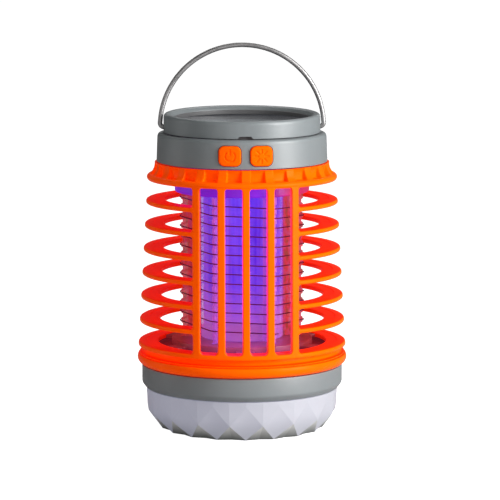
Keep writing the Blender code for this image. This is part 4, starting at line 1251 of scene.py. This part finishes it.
def floor():
    """White to the eye, but only a mild grey bounce on the object."""
    mesh = bpy.data.meshes.new("studio_floor")
    size, z = 8.0, -0.0001
    mesh.from_pydata([(-size, -size, z), (size, -size, z), (size, size, z), (-size, size, z)], [],
                     [(0, 1, 2, 3)])
    finish = Finish("studio_floor", 0.9, Base_Color=(0.52, 0.52, 0.52), Specular_IOR_Level=0.1)
    seen = finish.node("ShaderNodeLightPath").outputs["Is Camera Ray"]
    mesh.materials.append(finish.give(Emission_Color=(1.0, 1.0, 1.0), Emission_Strength=seen))
    linked("studio_floor", mesh)


def area(name, azimuth, elevation, distance, size, power):
    """A soft light round the object; azimuth 0 is in front of the keys, positive to the right."""
    data = bpy.data.lights.new(name, "AREA")
    data.shape = "RECTANGLE"
    data.size, data.size_y = size
    data.energy = power
    obj = linked(name, data)
    up = distance * sin(radians(elevation))
    obj.location = Vector(AIM) + on_circle(distance * cos(radians(elevation)), azimuth, up)
    obj.rotation_euler = (Vector(AIM) - obj.location).to_track_quat("-Z", "Y").to_euler()


def lights():
    """Name, azimuth, elevation, distance, size and power of each."""
    area("key_softbox", 57, 18, 1.0, (0.45, 0.7), 13.8)
    area("top_softbox", 20, 75, 0.9, (0.5, 0.5), 0.5)
    area("front_fill", -20, 4, 1.6, (1.2, 0.8), 3.6)
    area("left_strip", -100, 12, 1.0, (0.2, 0.7), 0.9)
    area("back_fill", 180, 48, 1.2, (0.8, 0.4), 3.2)


def surroundings():
    """A white backdrop; its light fades from the front to the back and from low to high."""
    world = bpy.data.worlds.new("studio")
    bpy.context.scene.world = world
    world.use_nodes = True
    sky = Nodes(world.node_tree)
    y, z = sky.parts(sky.node("ShaderNodeTexCoord").outputs["Generated"])[1:]
    ambient = sky.times(sky.spread(y, 0.30, 0.08, -0.8, 0.5), sky.spread(z, 1.0, 0.12, 0.0, 1.0))
    level = sky.node("ShaderNodeMix")
    sky.feed(level.inputs["Factor"], sky.node("ShaderNodeLightPath").outputs["Is Camera Ray"])
    sky.feed(level.inputs["A"], ambient)
    sky.feed(level.inputs["B"], 1.2)
    back = sky.tree.nodes["Background"]
    sky.feed(back.inputs["Color"], (1.0, 1.0, 1.0))
    sky.feed(back.inputs["Strength"], level.outputs["Result"])


def camera():
    """Long lens a little above the object and slightly left of its front."""
    data = bpy.data.cameras.new("camera")
    data.sensor_width = 36.0
    data.lens = 222.4
    data.clip_end = 50.0
    obj = linked("camera", data)
    obj.location = spot = Vector((-0.0590, -1.3507, 0.2649))
    pitch = radians(7.85)
    yaw = atan2(-spot.x, -spot.y) + radians(0.150)
    direction = Vector((sin(yaw) * cos(pitch), cos(yaw) * cos(pitch), -sin(pitch)))
    obj.rotation_euler = direction.to_track_quat("-Z", "Y").to_euler()
    bpy.context.scene.camera = obj
    bpy.context.scene.view_settings.view_transform = "Standard"


for build in (lamp_shade, base_ring, base_rim, bug_tray, lamp_parts, cage, grid_plates, grid_posts,
              grid_wires, light_tube, top_housing, keys, bezel, solar_panel, bail, electronics,
              port_cover, floor, lights, surroundings, camera):
    build()
